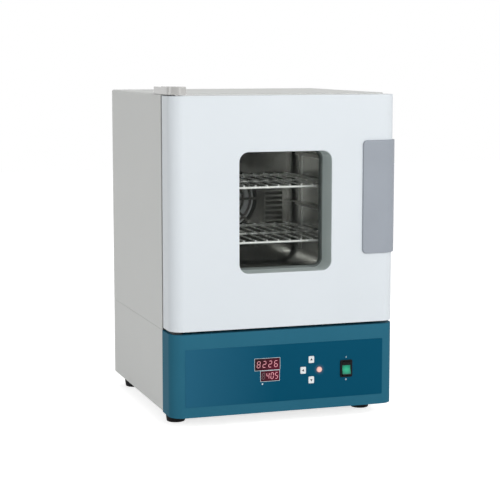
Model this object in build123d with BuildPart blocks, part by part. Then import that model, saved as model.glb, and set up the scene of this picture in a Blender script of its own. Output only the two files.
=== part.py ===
from build123d import *
import os
from math import asin, cos, degrees, radians, sin

# Bench drying oven with a forced-air chamber, in millimetres.
# +Y points to the back of the oven, +X to the right, +Z up.
# The origin is on the bench, under the middle of the whole oven.

# Cabinet
cabinet_width = 440.0
cabinet_height = 590.5
cabinet_depth = 382.4
base_height = 155.0
foot_height = 25.0
foot_inset_x = 32.5
foot_inset_front = 27.0
foot_inset_rear = 32.4
foot_top_radius = 21.0
foot_tip_radius = 17.5
sheet = 1.5
bend_radius = 4.0
return_width = 14.0
floor_slot_length = 64.0
floor_slot_gap = 26.0
floor_slot_pitch = 16.0
deck_way = (90.0, 20.0, 6.0)
deck_way_inset = 22.0
back_louvre = (76.0, 4.0, 8.0)
back_louvre_gap = 14.0
back_louvre_low = 44.0
back_louvre_pitch = 12.0
back_louvre_rows = 6
seam = 0.4
front_radius = 25.0

# Chamber and its air duct
chamber_width = 300.0
chamber_height = 270.0
chamber_depth = 300.0
chamber_floor = 230.0
chamber_radius = 30.0
liner_sheet = 1.0
liner_lip = 12.0
duct_depth = 33.0
duct_edge_radius = 8.0
guard_radius = 66.0
guard_ring_gap = 5.0
guard_spoke = 5.0
guard_spokes = 8
louvre_length = 38.0
louvre_pitch = 10.4
louvre_rise = 3.2
louvre_reach = 103.0
louvre_rows = 11
louvre_hood_height = 6.4

# Fan, heater, probe and vent
impeller_radius = 60.0
impeller_eye = 42.0
impeller_blades = 14
blade_length = 19.0
blade_sheet = 1.2
hub_radius = 11.0
shaft_radius = 4.0
shaft_fit = 0.03
heater_radius = 92.0
heater_tube_radius = 4.0
heater_gap_angle = 20.0
heater_leg = 12.0
heater_stud = 8.0
heater_flange_margin = 15.0
heater_flange_height = 22.0
heater_flange_corner = 5.0
heater_flange_sheet = 2.0
probe_radius = 3.0
probe_inset = 50.0
probe_drop = 13.0
probe_nut = 3.0
probe_tail = 8.0
probe_reach = 22.0
vent_inset = 38.0
vent_drop = 22.0
vent_bore = 13.6
vent_wall = 1.2
vent_stub = 8.0
vent_pivot_reach = 18.0
motor_radius = 34.0
motor_length = 37.0
motor_plate_width = 130.0
motor_plate_sheet = 2.0
motor_opening = 45.0
shaft_in_motor = 24.0
cover_width = 160.0
cover_depth = 45.0
cover_flange = 13.0
cover_corner = 14.0
cover_edge = 6.0
cover_slots = 8
cover_slot_pitch = 14.0
cover_slot_margin = 22.0

# Shelves
shelf_heights = (310.0, 414.0)
rail_levels = (310.0, 362.0, 414.0, 466.0)
rod_radius = 2.5
cross_bar_radius = 2.0
wire_radius = 1.5
wire_pitch = 22.8
wire_count = 12
weld = 0.5
ledge = 9.0
ledge_leg = 8.0
rail_sheet = 1.2
rail_post = 16.0
rail_front_gap = 13.0
rail_rear_gap = 6.0
rail_post_inset = 30.0
rail_post_gap = 2.0
shelf_front_gap = 10.0
shelf_rear_gap = 8.0

# Door
door_bay = 65.0
door_depth = 57.0
door_bottom_gap = 5.3
door_top_gap = 2.2
cap_thickness = 6.0
window_width = 180.0
window_height = 223.0
window_middle = 374.2
window_radius = 18.0
window_rim = 1.2
reveal_sheet = 1.5
reveal_end = 62.0
reveal_lip = 7.0
glass = 4.0
glass_seal_width = 4.5
outer_glass_depth = 49.0
inner_glass_depth = 57.0
gasket_width = 14.0
gasket_offset = 8.0
inner_sheet = 1.2
magnet_width = 20.0
magnet_height = 60.0

# Door handle
handle_width = 68.2
handle_low = 291.2
handle_high = 503.8
handle_proud = 4.0
handle_corner = 8.0
grip_wall = 5.0
pocket_width = 38.0
pocket_margin = 8.0
pocket_wall = 2.5
pocket_depth = 46.0
grip_end_depth = 21.0

# Hinge
hinge_inset = 20.0
hinge_depth = 24.0
pin_radius = 4.0
pin_reach = 15.5
bush_radius = 7.0
hinge_plate = 3.0
hinge_plate_width = 20.0
hinge_plate_rear = 112.0
shoulder_radius = 6.5
hinge_screw_end = 10.0
hinge_screw_pitch = 18.0
hinge_screw_offset = 4.0
hinge_plate_reach = 13.0
hinge_plate_corner = 5.0
pin_chamfer = 0.8
pin_head = 2.5
cover_cap_width = 30.0
cover_cap_height = 14.5
cover_cap_rear = 116.0
cover_cap_step = 62.0
cover_cap_wall = 1.5

# Control panel
panel_wall = 2.0
film = 0.5
film_width = 390.0
film_low = 19.5
film_high = 127.2
board_depth = 14.0
board_sheet = 1.6
key_width = 11.0
key_height = 13.0
key_proud = 1.8
key_travel = 0.7
key_flange = 1.0
key_gap = 0.3
key_corner = 1.5
tact_height = 3.0
tact_width = 6.0
key_places = {"key_up": (50.8, 94.8), "key_left": (34.5, 75.3), "key_down": (50.8, 56.0)}
set_key_place = (67.0, 74.8)
set_key_radius = 5.2
upper_display = (49.3, 22.2, -36.2, 91.4)
lower_display = (36.9, 19.4, -30.9, 69.1)
led_place = (-45.7, 54.2)
led_radius = 1.6
switch_place = (121.2, 73.4)
bezel_width = 24.5
bezel_height = 32.7
bezel_proud = 2.0
switch_neck = 21.5
switch_neck_height = 30.6
switch_depth = 26.0
rocker_width = 16.2
rocker_swing = 13.9
rocker_pivot_depth = 0.8
rocker_tilt = 6.0
rocker_valley = 2.6
rocker_tip = 5.6
rocker_rear = 6.0
rocker_gap = 0.3
rocker_end_gap = 0.4
switch_hollow = 10.0
bezel_corner = 2.5
bezel_edge = 0.8
terminal_pitch = 9.0
terminal_width = 6.3
terminal_length = 8.0
terminal_sheet = 0.8
trunnion_radius = 1.5
trunnion_reach = 1.8
trunnion_fit = 0.06

# Power supply in the base
inlet_inset = 60.0
inlet_height = 62.0
inlet_width = 28.0
inlet_tall = 20.6
inlet_length = 24.0
inlet_corner = 2.0
inlet_flange = 2.5
inlet_flange_corner = 3.0
inlet_flange_sheet = 2.0
inlet_edge = 0.8
socket_width = 24.0
socket_tall = 16.3
socket_chamfer = 4.0
socket_depth = 18.0
pin_spread = 7.0
pin_low = -1.0
earth_rise = 4.0
inlet_pin = (2.0, 16.0, 4.0)
inlet_tab = (0.8, 8.0, 5.0)
supply_x = 60.0
supply_depth = 250.0
supply_width = 130.0
supply_length = 96.0
supply_boss = 8.0
relay_x = -110.0
relay_depth = 240.0
relay_recess = 8.0

# Fits and fasteners
slip = 0.1
soft_gap = 0.3
wool_margin = 4.0
screw_radius = 2.0
screw_head_radius = 3.8
screw_head = 2.4
screw_length = 6.0
panel_screw_heights = (80.0, 230.0, 520.0)
motor_screw_inset = 8.0
board_screw_inset = 6.0
slot_width = 5.0
sheet_corner = 3.0
foot_screw_radius = 2.5
foot_screw_head_radius = 4.6

# Levels and depths worked out from the sizes above
overall_depth = handle_proud + door_bay + cabinet_depth + cover_depth
front_y = handle_proud - overall_depth / 2
hinge_x = cabinet_width / 2 - hinge_inset
handle_left = cabinet_width / 2 - handle_width
pocket_left = cabinet_width / 2 - pocket_width
inlet_x = inlet_inset - cabinet_width / 2
probe_x = probe_inset - chamber_width / 2
probe_height = chamber_floor + chamber_height - probe_drop
vent_x = chamber_width / 2 - vent_inset
vent_height = chamber_floor + chamber_height - vent_drop


def back(depth):
    """Y of a point this far behind the face of the door."""
    return front_y + depth


def up(height):
    """Z of a point this far above the underside of the base."""
    return foot_height + height


def facing(y):
    """Upright plane at y whose drawing is seen from the front; X right, Y up."""
    return Plane(origin=(0, y, 0), x_dir=(1, 0, 0), z_dir=(0, -1, 0))


def level(z):
    """Level plane at z."""
    return Plane.XY.offset(z)


def forward(y, z):
    """Level plane at z whose drawing's own Y points to the front from y."""
    return Plane(origin=(0, y, z), x_dir=(-1, 0, 0), z_dir=(0, 0, 1))


def hanging(y, z):
    """Upright plane at y whose drawing's own Y points down from z."""
    return Plane(origin=(0, y, z), x_dir=(-1, 0, 0), z_dir=(0, -1, 0))


def rearward(x, y, z):
    """Plane at a point, looking to the back of the oven."""
    return Plane(origin=(x, y, z), x_dir=(-1, 0, 0), z_dir=(0, 1, 0))


def arch(width, height, radius):
    """Full rectangle with two round corners at its top, standing on the plane's X axis."""
    RectangleRounded(width, 2 * height, radius)
    Rectangle(width, height, align=(Align.CENTER, Align.MAX), mode=Mode.SUBTRACT)


def arch_band(width, height, radius, wall):
    """Bent sheet of one wall thickness with its open side on the plane's X axis."""
    RectangleRounded(width, 2 * height, radius)
    inner = max(radius - wall, 0.2)
    RectangleRounded(width - 2 * wall, 2 * (height - wall), inner, mode=Mode.SUBTRACT)
    Rectangle(width, height, align=(Align.CENTER, Align.MAX), mode=Mode.SUBTRACT)


def save(piece, name):
    """Label a finished piece and write it."""
    piece.part.label = name
    export_step(piece.part, f"parts/{name}.step")


os.makedirs("parts", exist_ok=True)

frame_y = back(door_bay)
rear_y = frame_y + cabinet_depth
base_top = up(base_height)
roof = up(cabinet_height)
inside_width = cabinet_width - 2 * sheet
wrap_low = base_top + seam
frame_low = up(base_height + hinge_plate + 1.0)
chamber_middle = up(chamber_floor + chamber_height / 2)
duct_front = back(door_bay + chamber_depth)
liner_rear = duct_front + duct_depth
door_low = up(base_height + door_bottom_gap)
door_high = roof - door_top_gap
door_height = door_high - door_low
door_rear = back(door_depth)
window_z = up(window_middle)
cover_rear = rear_y + cover_depth
foot_places = {
    "foot_front_left": (-cabinet_width / 2 + foot_inset_x, frame_y + foot_inset_front),
    "foot_front_right": (cabinet_width / 2 - foot_inset_x, frame_y + foot_inset_front),
    "foot_rear_left": (-cabinet_width / 2 + foot_inset_x, rear_y - foot_inset_rear),
    "foot_rear_right": (cabinet_width / 2 - foot_inset_x, rear_y - foot_inset_rear),
}
screw_hole = screw_radius + slip
return_middle = cabinet_width / 2 - sheet - return_width / 2
panel_screw_places = [
    (side * return_middle, up(height))
    for side in (-1, 1)
    for height in panel_screw_heights
]
cover_screw_reach = cover_width / 2 + cover_flange / 2
cover_screw_places = [
    (x * cover_screw_reach, chamber_middle + z * cover_screw_reach)
    for x in (-1, 1)
    for z in (-1, 1)
]
motor_screw_reach = motor_plate_width / 2 - motor_screw_inset
motor_screw_places = [
    (x * motor_screw_reach, chamber_middle + z * motor_screw_reach)
    for x in (-1, 1)
    for z in (-1, 1)
]
supply_screw_places = [
    (
        supply_x + x * (supply_width / 2 - board_screw_inset),
        back(supply_depth) + y * (supply_length / 2 - board_screw_inset),
    )
    for x in (-1, 1)
    for y in (-1, 1)
]
hinge_screw_rear = hinge_plate_rear - hinge_screw_end
hinge_screw_depths = (hinge_screw_rear - hinge_screw_pitch, hinge_screw_rear)
hinge_screw_x = -hinge_x - hinge_screw_offset


def louvre(length, rise, height, wall, out):
    """Hood and mouth of one pressed louvre; out is the side of the sheet it bulges to."""
    with BuildPart() as hood:
        with BuildSketch(Plane.YZ.offset(-length / 2)) as hood_profile:
            with BuildLine():
                Polyline(
                    (-out * wall / 2, height / 2),
                    (-out * wall / 2, -height / 2),
                    (out * rise, -height / 2),
                    (0, height / 2),
                    close=True,
                )
            make_face()
        extrude(amount=length)
    with BuildPart() as mouth:
        with BuildSketch(Plane.YZ.offset(wall - length / 2)) as mouth_profile:
            with BuildLine():
                Polyline(
                    (-out * 2 * wall, height / 2 - wall),
                    (-out * 2 * wall, -height / 2 - slip),
                    (out * (rise - wall), -height / 2 - slip),
                    (-out * wall / 4, height / 2 - wall),
                    close=True,
                )
            make_face()
        extrude(amount=length - 2 * wall)
    return hood.part, mouth.part


# Cabinet wrap: roof and two sides from one sheet, with a return at the back
with BuildPart() as cabinet_wrap:
    with BuildSketch(facing(frame_y)):
        with Locations((0, wrap_low)):
            arch_band(cabinet_width, roof - wrap_low, bend_radius, sheet)
    extrude(amount=-cabinet_depth)
    with BuildSketch(facing(rear_y - 2 * sheet)):
        with Locations((0, wrap_low)):
            arch_band(cabinet_width, roof - wrap_low, bend_radius, sheet + return_width)
    extrude(amount=-sheet)
    for x, z in panel_screw_places:
        if z > wrap_low:
            with Locations(rearward(x, rear_y - 1.5 * sheet, z)):
                Cylinder(screw_hole, 4 * sheet, mode=Mode.SUBTRACT)
    for depth in hinge_screw_depths:
        with Locations((hinge_screw_x, back(depth), roof)):
            Cylinder(screw_hole, 4 * sheet, mode=Mode.SUBTRACT)
save(cabinet_wrap, "cabinet_wrap")

# Base tray: floor and lower sides, with a tongue that reaches under the control panel
tongue_width = cabinet_width - 2 * (panel_wall + slip)
with BuildPart() as base_tray:
    with BuildSketch(hanging(frame_y, base_top)):
        arch_band(cabinet_width, base_height, bend_radius, sheet)
    extrude(amount=-cabinet_depth)
    with BuildSketch(hanging(rear_y - 2 * sheet, base_top)):
        arch_band(cabinet_width, base_height, bend_radius, sheet + return_width)
    extrude(amount=-sheet)
    with BuildSketch(forward(frame_y + sheet, foot_height)):
        arch(tongue_width, door_bay + sheet - panel_wall - slip, front_radius - panel_wall - slip)
    extrude(amount=sheet)
    with BuildSketch(level(foot_height)):
        with Locations((0, frame_y + 0.21 * cabinet_depth)):
            with GridLocations(floor_slot_length + floor_slot_gap, floor_slot_pitch, 3, 5):
                SlotOverall(floor_slot_length, slot_width)
    extrude(amount=sheet, mode=Mode.SUBTRACT)
    with BuildSketch(level(foot_height + sheet)):
        with Locations(*supply_screw_places):
            Circle(2.5 * screw_radius)
            Circle(screw_hole, mode=Mode.SUBTRACT)
    extrude(amount=supply_boss)
    for x, y in foot_places.values():
        with Locations((x, y, foot_height + sheet / 2)):
            Cylinder(foot_screw_radius + slip, 3 * sheet, mode=Mode.SUBTRACT)
    for x, z in panel_screw_places:
        if z < wrap_low:
            with Locations(rearward(x, rear_y - 1.5 * sheet, z)):
                Cylinder(screw_hole, 4 * sheet, mode=Mode.SUBTRACT)
save(base_tray, "base_tray")

# Base deck: the floor between the chamber and the electrical space
deck_front = frame_y + soft_gap
deck_rear = rear_y - 2 * sheet
with BuildPart() as base_deck:
    with BuildSketch(level(base_top - sheet)):
        with Locations((0, (deck_front + deck_rear) / 2)):
            Rectangle(inside_width - 2 * slip, deck_rear - deck_front)
        with Locations((0, deck_rear - deck_way_inset)):
            RectangleRounded(*deck_way, mode=Mode.SUBTRACT)
        for depth in hinge_screw_depths:
            with Locations((hinge_screw_x, back(depth))):
                Circle(screw_hole, mode=Mode.SUBTRACT)
    extrude(amount=sheet)
save(base_deck, "base_deck")

# Back panel with louvres over the electrical space and openings for what passes through
panel_low = foot_height + sheet + slip
panel_high = roof - sheet - slip
back_hood, back_mouth = louvre(*back_louvre, sheet, 1)
back_louvre_reach = (back_louvre[0] + back_louvre_gap) / 2
back_louvre_places = [
    (supply_x + column * back_louvre_reach, rear_y, up(back_louvre_low + row * back_louvre_pitch))
    for column in (-1, 1)
    for row in range(back_louvre_rows)
]
with BuildPart() as back_panel:
    with BuildSketch(facing(rear_y - sheet)):
        with Locations((0, (panel_low + panel_high) / 2)):
            RectangleRounded(inside_width - 2 * slip, panel_high - panel_low, sheet_corner)
        with Locations((0, chamber_middle)):
            Circle(motor_opening, mode=Mode.SUBTRACT)
        with Locations((vent_x, up(vent_height))):
            Circle(vent_bore + vent_wall + slip, mode=Mode.SUBTRACT)
        with Locations((inlet_x, up(inlet_height))):
            RectangleRounded(
                inlet_width + 2 * slip, inlet_tall + 2 * slip, inlet_corner + slip, mode=Mode.SUBTRACT
            )
        with Locations(*panel_screw_places, *cover_screw_places, *motor_screw_places):
            Circle(screw_hole, mode=Mode.SUBTRACT)
    extrude(amount=-sheet)
    with Locations(*back_louvre_places):
        add(back_hood)
        add(back_mouth, mode=Mode.SUBTRACT)
save(back_panel, "back_panel")

# Front frame: the stainless face around the mouth of the chamber
with BuildPart() as front_frame:
    with BuildSketch(facing(frame_y)):
        with Locations((0, (frame_low + panel_high) / 2)):
            RectangleRounded(inside_width - 2 * slip, panel_high - frame_low, sheet_corner)
        with Locations((0, chamber_middle)):
            RectangleRounded(chamber_width, chamber_height, chamber_radius, mode=Mode.SUBTRACT)
    extrude(amount=-sheet)
save(front_frame, "front_frame")

# Chamber liner: a round-cornered tunnel with a lip at the mouth and a wall at the back
liner_front = frame_y + sheet
liner_back = liner_rear + liner_sheet
leg_x = heater_radius * sin(radians(heater_gap_angle / 2))
leg_z = chamber_middle + heater_radius * cos(radians(heater_gap_angle / 2))
with BuildPart() as chamber_liner:
    for grow, length in ((liner_sheet, liner_back - liner_front), (liner_lip, liner_sheet)):
        with BuildSketch(facing(liner_front)):
            with Locations((0, chamber_middle)):
                RectangleRounded(
                    chamber_width + 2 * grow, chamber_height + 2 * grow, chamber_radius + grow
                )
        extrude(amount=-length)
    with BuildSketch(facing(liner_front)):
        with Locations((0, chamber_middle)):
            RectangleRounded(chamber_width, chamber_height, chamber_radius)
    extrude(amount=-(liner_rear - liner_front), mode=Mode.SUBTRACT)
    with BuildSketch(facing(liner_rear)):
        with Locations((0, chamber_middle)):
            Circle(1.75 * shaft_radius)
        with Locations((-leg_x, leg_z), (leg_x, leg_z)):
            Circle(heater_tube_radius + soft_gap)
        with Locations((probe_x, up(probe_height))):
            Circle(probe_radius + slip)
        with Locations((vent_x, up(vent_height))):
            Circle(vent_bore)
    extrude(amount=-liner_sheet, mode=Mode.SUBTRACT)
save(chamber_liner, "chamber_liner")

# Duct plate: the louvred baffle that covers the fan, with a guard over the fan's eye
guard_bar = (guard_radius - 4 * guard_ring_gap) / 4
duct_hood, duct_mouth = louvre(louvre_length, louvre_rise, louvre_hood_height, liner_sheet, -1)
louvre_places = [
    (side * louvre_reach, duct_front, chamber_middle + (row - (louvre_rows - 1) / 2) * louvre_pitch)
    for side in (-1, 1)
    for row in range(louvre_rows)
]
with BuildPart() as duct_plate:
    with BuildSketch(facing(duct_front)):
        with Locations((0, chamber_middle)):
            RectangleRounded(
                chamber_width - 2 * soft_gap,
                chamber_height - 2 * soft_gap,
                chamber_radius - soft_gap,
            )
    extrude(amount=-duct_depth)
    fillet(duct_plate.faces().sort_by(Axis.Y)[0].edges(), duct_edge_radius)
    offset(amount=-liner_sheet, openings=duct_plate.faces().sort_by(Axis.Y)[-1])
    with BuildSketch(facing(duct_front)):
        with Locations((0, chamber_middle)):
            for ring in range(3):
                outer = guard_radius - ring * (guard_bar + guard_ring_gap)
                Circle(outer)
                Circle(outer - guard_bar, mode=Mode.SUBTRACT)
            with PolarLocations(0, guard_spokes // 2, angular_range=180):
                Rectangle(2 * guard_radius + 2, guard_spoke, mode=Mode.SUBTRACT)
        with Locations((probe_x, up(probe_height))):
            Circle(probe_radius + 1)
    extrude(amount=-2 * liner_sheet, mode=Mode.SUBTRACT)
    with Locations(*louvre_places):
        add(duct_hood)
        add(duct_mouth, mode=Mode.SUBTRACT)
save(duct_plate, "duct_plate")

# Heater: a tubular ring around the fan, with two legs through a flange on the back wall
heater_y = (duct_front + liner_rear) / 2
start = radians(90 - heater_gap_angle / 2)
heater_cut = Plane(
    origin=(0, heater_y, chamber_middle),
    x_dir=(cos(start), 0, sin(start)),
    z_dir=(-sin(start), 0, cos(start)),
)
leg_end = liner_back + heater_leg
heater_flange_width = 2 * (leg_x + heater_flange_margin)
with BuildPart() as heater_element:
    with BuildSketch(heater_cut):
        with Locations((heater_radius, 0)):
            Circle(heater_tube_radius)
    revolve(
        axis=Axis((0, heater_y, chamber_middle), (0, 1, 0)),
        revolution_arc=360 - heater_gap_angle,
    )
    for x in (-leg_x, leg_x):
        with Locations((x, heater_y, leg_z)):
            Sphere(heater_tube_radius)
        with BuildSketch(facing(heater_y)):
            with Locations((x, leg_z)):
                Circle(heater_tube_radius)
        extrude(amount=-(leg_end - heater_y))
        with BuildSketch(facing(leg_end)):
            with Locations((x, leg_z)):
                Circle(heater_tube_radius / 2)
        extrude(amount=-heater_stud)
    with BuildSketch(facing(liner_back)):
        with Locations((0, leg_z)):
            RectangleRounded(heater_flange_width, heater_flange_height, heater_flange_corner)
    extrude(amount=-heater_flange_sheet)
save(heater_element, "heater_element")

# Fan impeller: curved blades between a back disc and an inlet ring, on a bored hub
impeller_front = duct_front + liner_sheet + 5.0
fan_axis = Plane(origin=(0, impeller_front, chamber_middle), x_dir=(1, 0, 0), z_dir=(0, 1, 0))
inlet_ring = 1.0
disc_sheet = 1.2
disc_start = inlet_ring + blade_length
with BuildSketch() as blade_profile:
    with BuildLine() as blade_line:
        ThreePointArc(
            (impeller_eye, 0),
            (0.85 * impeller_radius, -0.07 * impeller_radius),
            (0.955 * impeller_radius, -0.22 * impeller_radius),
        )
    trace(line_width=blade_sheet)
with BuildPart() as fan_impeller:
    with BuildSketch(fan_axis):
        Circle(impeller_radius)
        Circle(impeller_eye, mode=Mode.SUBTRACT)
    extrude(amount=inlet_ring)
    with BuildSketch(fan_axis.offset(inlet_ring)):
        with PolarLocations(0, impeller_blades):
            add(blade_profile.sketch)
    extrude(amount=blade_length)
    with BuildSketch(fan_axis.offset(disc_start)):
        Circle(impeller_radius)
    extrude(amount=disc_sheet)
    with BuildSketch(fan_axis.offset(inlet_ring + 4.0)):
        Circle(hub_radius)
    extrude(amount=disc_start)
    with BuildSketch(fan_axis):
        Circle(shaft_radius + shaft_fit)
    extrude(amount=2 * disc_start, mode=Mode.SUBTRACT)
save(fan_impeller, "fan_impeller")

# Motor shaft
motor_front = rear_y + motor_plate_sheet
shaft_start = inlet_ring + 3.0
shaft_end = motor_front + shaft_in_motor - impeller_front
with BuildPart() as motor_shaft:
    with BuildSketch(fan_axis.offset(shaft_start)):
        Circle(shaft_radius)
    extrude(amount=shaft_end - shaft_start)
    chamfer(motor_shaft.faces().sort_by(Axis.Y)[0].edges(), 0.8)
save(motor_shaft, "motor_shaft")

# Motor plate, screwed over the opening in the back panel
with BuildPart() as motor_plate:
    with BuildSketch(facing(rear_y)):
        with Locations((0, chamber_middle)):
            RectangleRounded(motor_plate_width, motor_plate_width, 8.0)
            Circle(2.2 * shaft_radius, mode=Mode.SUBTRACT)
        with Locations(*motor_screw_places):
            Circle(screw_hole, mode=Mode.SUBTRACT)
    extrude(amount=-motor_plate_sheet)
save(motor_plate, "motor_plate")

# Fan motor: square foot, round body and rear bearing boss, bored for the shaft
motor_foot = 3.0
with BuildPart() as fan_motor:
    with BuildSketch(facing(motor_front)):
        with Locations((0, chamber_middle)):
            RectangleRounded(2 * motor_radius + 6, 2 * motor_radius + 6, 12.0)
    extrude(amount=-motor_foot)
    with BuildSketch(facing(motor_front + motor_foot)):
        with Locations((0, chamber_middle)):
            Circle(motor_radius)
    extrude(amount=-(motor_length - motor_foot - 3.0))
    fillet(fan_motor.faces().sort_by(Axis.Y)[-1].edges(), 4.0)
    with BuildSketch(facing(motor_front + motor_length - 3.0)):
        with Locations((0, chamber_middle)):
            Circle(10.0)
    extrude(amount=-3.0)
    with BuildSketch(facing(motor_front)):
        with Locations((0, chamber_middle)):
            Circle(shaft_radius + shaft_fit)
    extrude(amount=-25.0, mode=Mode.SUBTRACT)
save(fan_motor, "fan_motor")

# Motor cover: a flanged box on the back with cooling slots
cover_sheet = 1.2
flange_width = cover_width + 2 * cover_flange
with BuildPart() as motor_cover:
    with BuildSketch(facing(rear_y)):
        with Locations((0, chamber_middle)):
            RectangleRounded(cover_width, cover_width, cover_corner)
    extrude(amount=-cover_depth)
    fillet(motor_cover.faces().sort_by(Axis.Y)[-1].edges(), cover_edge)
    offset(amount=-cover_sheet, openings=motor_cover.faces().sort_by(Axis.Y)[0])
    with BuildSketch(facing(rear_y)):
        with Locations((0, chamber_middle)):
            RectangleRounded(flange_width, flange_width, cover_corner)
            RectangleRounded(
                cover_width - 2 * cover_sheet,
                cover_width - 2 * cover_sheet,
                cover_corner - cover_sheet,
                mode=Mode.SUBTRACT,
            )
        with Locations(*cover_screw_places):
            Circle(screw_hole, mode=Mode.SUBTRACT)
    extrude(amount=-cover_sheet)
    with BuildSketch(facing(cover_rear)):
        with Locations((0, chamber_middle)):
            with GridLocations(cover_width, cover_slot_pitch, 1, cover_slots):
                SlotOverall(cover_width - 2 * cover_slot_margin, slot_width)
    extrude(amount=2 * cover_sheet, mode=Mode.SUBTRACT)
save(motor_cover, "motor_cover")

# Vent: a flanged pipe from the chamber to the back, with a collar and a pivot for its shutter
vent_z = up(vent_height)
vent_outer = vent_bore + vent_wall
vent_end = rear_y + vent_stub
rivet_post = 2.6
rivet_pin = 1.6
shutter_sheet = 1.6
shutter_lap = 0.6
shutter_ear = 2.2
shutter_fit = 0.06
shutter_tab = 12.0
shutter_tab_length = 9.0
shutter_tab_inset = 3.0
rivet_head = 1.2
vent_flange = 5.0
vent_flange_sheet = 1.0
collar_sheet = 2.0
collar_margin = 4.0
collar_radius = vent_pivot_reach + collar_margin
with BuildPart() as vent_pipe:
    for y, length, radius in (
        (liner_back, vent_end - liner_back, vent_outer),
        (liner_back, vent_flange_sheet, vent_outer + vent_flange),
        (rear_y, collar_sheet, collar_radius),
    ):
        with BuildSketch(facing(y)):
            with Locations((vent_x, vent_z)):
                Circle(radius)
        extrude(amount=-length)
    with BuildSketch(facing(liner_back)):
        with Locations((vent_x, vent_z)):
            Circle(vent_bore)
    extrude(amount=-(vent_end - liner_back), mode=Mode.SUBTRACT)
    for radius, length in (
        (rivet_post, vent_stub),
        (rivet_pin, vent_stub + 2 * soft_gap + shutter_sheet),
    ):
        with BuildSketch(facing(rear_y)):
            with Locations((vent_x, vent_z + vent_pivot_reach)):
                Circle(radius)
        extrude(amount=-length)
    with BuildSketch(facing(vent_end + 2 * soft_gap + shutter_sheet)):
        with Locations((vent_x, vent_z + vent_pivot_reach)):
            Circle(rivet_post)
    extrude(amount=-rivet_head)
save(vent_pipe, "vent_pipe")

# Vent shutter: a disc that swings aside on its rivet, with a tab to turn it by
with BuildPart() as vent_shutter:
    with BuildSketch(facing(vent_end + soft_gap)):
        with Locations((vent_x, vent_z)):
            Circle(vent_outer + shutter_lap)
        with Locations((vent_x, vent_z + vent_pivot_reach)):
            Circle(rivet_post + shutter_ear)
        make_hull()
        with Locations((vent_x, vent_z + vent_pivot_reach)):
            Circle(rivet_pin + shutter_fit, mode=Mode.SUBTRACT)
    extrude(amount=-shutter_sheet)
    with BuildSketch(facing(vent_end + soft_gap)):
        with Locations((vent_x, vent_z - vent_outer + shutter_tab_inset)):
            Rectangle(shutter_tab, shutter_sheet)
    extrude(amount=-shutter_tab_length)
save(vent_shutter, "vent_shutter")

# Temperature probe: a closed tube through the back wall and the duct plate
with BuildPart() as temperature_probe:
    for y, length, radius in (
        (duct_front - probe_reach, liner_back + probe_tail - duct_front + probe_reach, probe_radius),
        (liner_back, probe_nut, 2 * probe_radius),
    ):
        with BuildSketch(facing(y)):
            with Locations((probe_x, up(probe_height))):
                Circle(radius)
        extrude(amount=-length)
    fillet(temperature_probe.faces().sort_by(Axis.Y)[0].edges(), 0.8 * probe_radius)
save(temperature_probe, "temperature_probe")

# Insulation: a wool jacket around the liner, with ways through for what crosses it
wool_front = liner_front + liner_sheet + soft_gap
wool_rear = rear_y - 2 * sheet - soft_gap
wool_low = up(base_height + hinge_plate + screw_head + 2.0)
wool_high = roof - sheet - soft_gap
with BuildPart() as insulation_wool:
    with BuildSketch(facing(wool_front)):
        with Locations((0, (wool_low + wool_high) / 2)):
            RectangleRounded(
                inside_width - 2 * soft_gap, wool_high - wool_low, max(bend_radius - sheet, 0.5)
            )
    extrude(amount=-(wool_rear - wool_front))
    hollow = liner_sheet + soft_gap
    with BuildSketch(facing(wool_front)):
        with Locations((0, chamber_middle)):
            RectangleRounded(
                chamber_width + 2 * hollow, chamber_height + 2 * hollow, chamber_radius + hollow
            )
    extrude(amount=-(liner_back + soft_gap - wool_front), mode=Mode.SUBTRACT)
    with BuildSketch(facing(liner_back)):
        with Locations((0, chamber_middle)):
            Circle(2.5 * shaft_radius)
        with Locations((0, leg_z)):
            RectangleRounded(
                heater_flange_width + 2 * wool_margin,
                heater_flange_height + 2 * wool_margin,
                heater_flange_corner,
            )
        with Locations((probe_x, up(probe_height))):
            Circle(3 * probe_radius)
        with Locations((vent_x, vent_z)):
            Circle(vent_outer + vent_flange + soft_gap)
    extrude(amount=-(wool_rear - liner_back), mode=Mode.SUBTRACT)
    wool_screws = [(x, z) for x, z in panel_screw_places if z > wool_low]
    with BuildSketch(facing(wool_rear)):
        with Locations(*wool_screws, *cover_screw_places, *motor_screw_places):
            Circle(screw_hole + soft_gap)
    extrude(amount=screw_length / 2, mode=Mode.SUBTRACT)
    with BuildSketch(level(wool_high)):
        with Locations(*[(hinge_screw_x, back(depth)) for depth in hinge_screw_depths]):
            Circle(screw_hole + soft_gap)
    extrude(amount=-screw_length / 2, mode=Mode.SUBTRACT)
save(insulation_wool, "insulation_wool")

# Shelf rails: two upright strips and four angle ledges on each side wall
rail_front = frame_y + rail_front_gap
rail_rear = duct_front - rail_rear_gap
post_low = chamber_middle - chamber_height / 2 + chamber_radius + rail_post_gap
post_high = chamber_middle + chamber_height / 2 - chamber_radius - rail_post_gap
for side, name in ((-1, "shelf_rail_left"), (1, "shelf_rail_right")):
    wall_x = side * chamber_width / 2
    toward = Align.MAX if side > 0 else Align.MIN
    with BuildPart() as shelf_rail:
        for y in (rail_front + rail_post_inset, rail_rear - rail_post_inset):
            with Locations((wall_x, y, post_low)):
                Box(rail_sheet, rail_post, post_high - post_low, align=(toward, Align.CENTER, Align.MIN))
        for height in rail_levels:
            top = up(height) - rod_radius - soft_gap
            with Locations((wall_x, rail_front, top)):
                Box(ledge, rail_rear - rail_front, rail_sheet, align=(toward, Align.MIN, Align.MAX))
                Box(rail_sheet, rail_rear - rail_front, ledge_leg, align=(toward, Align.MIN, Align.MAX))
    save(shelf_rail, name)

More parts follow.
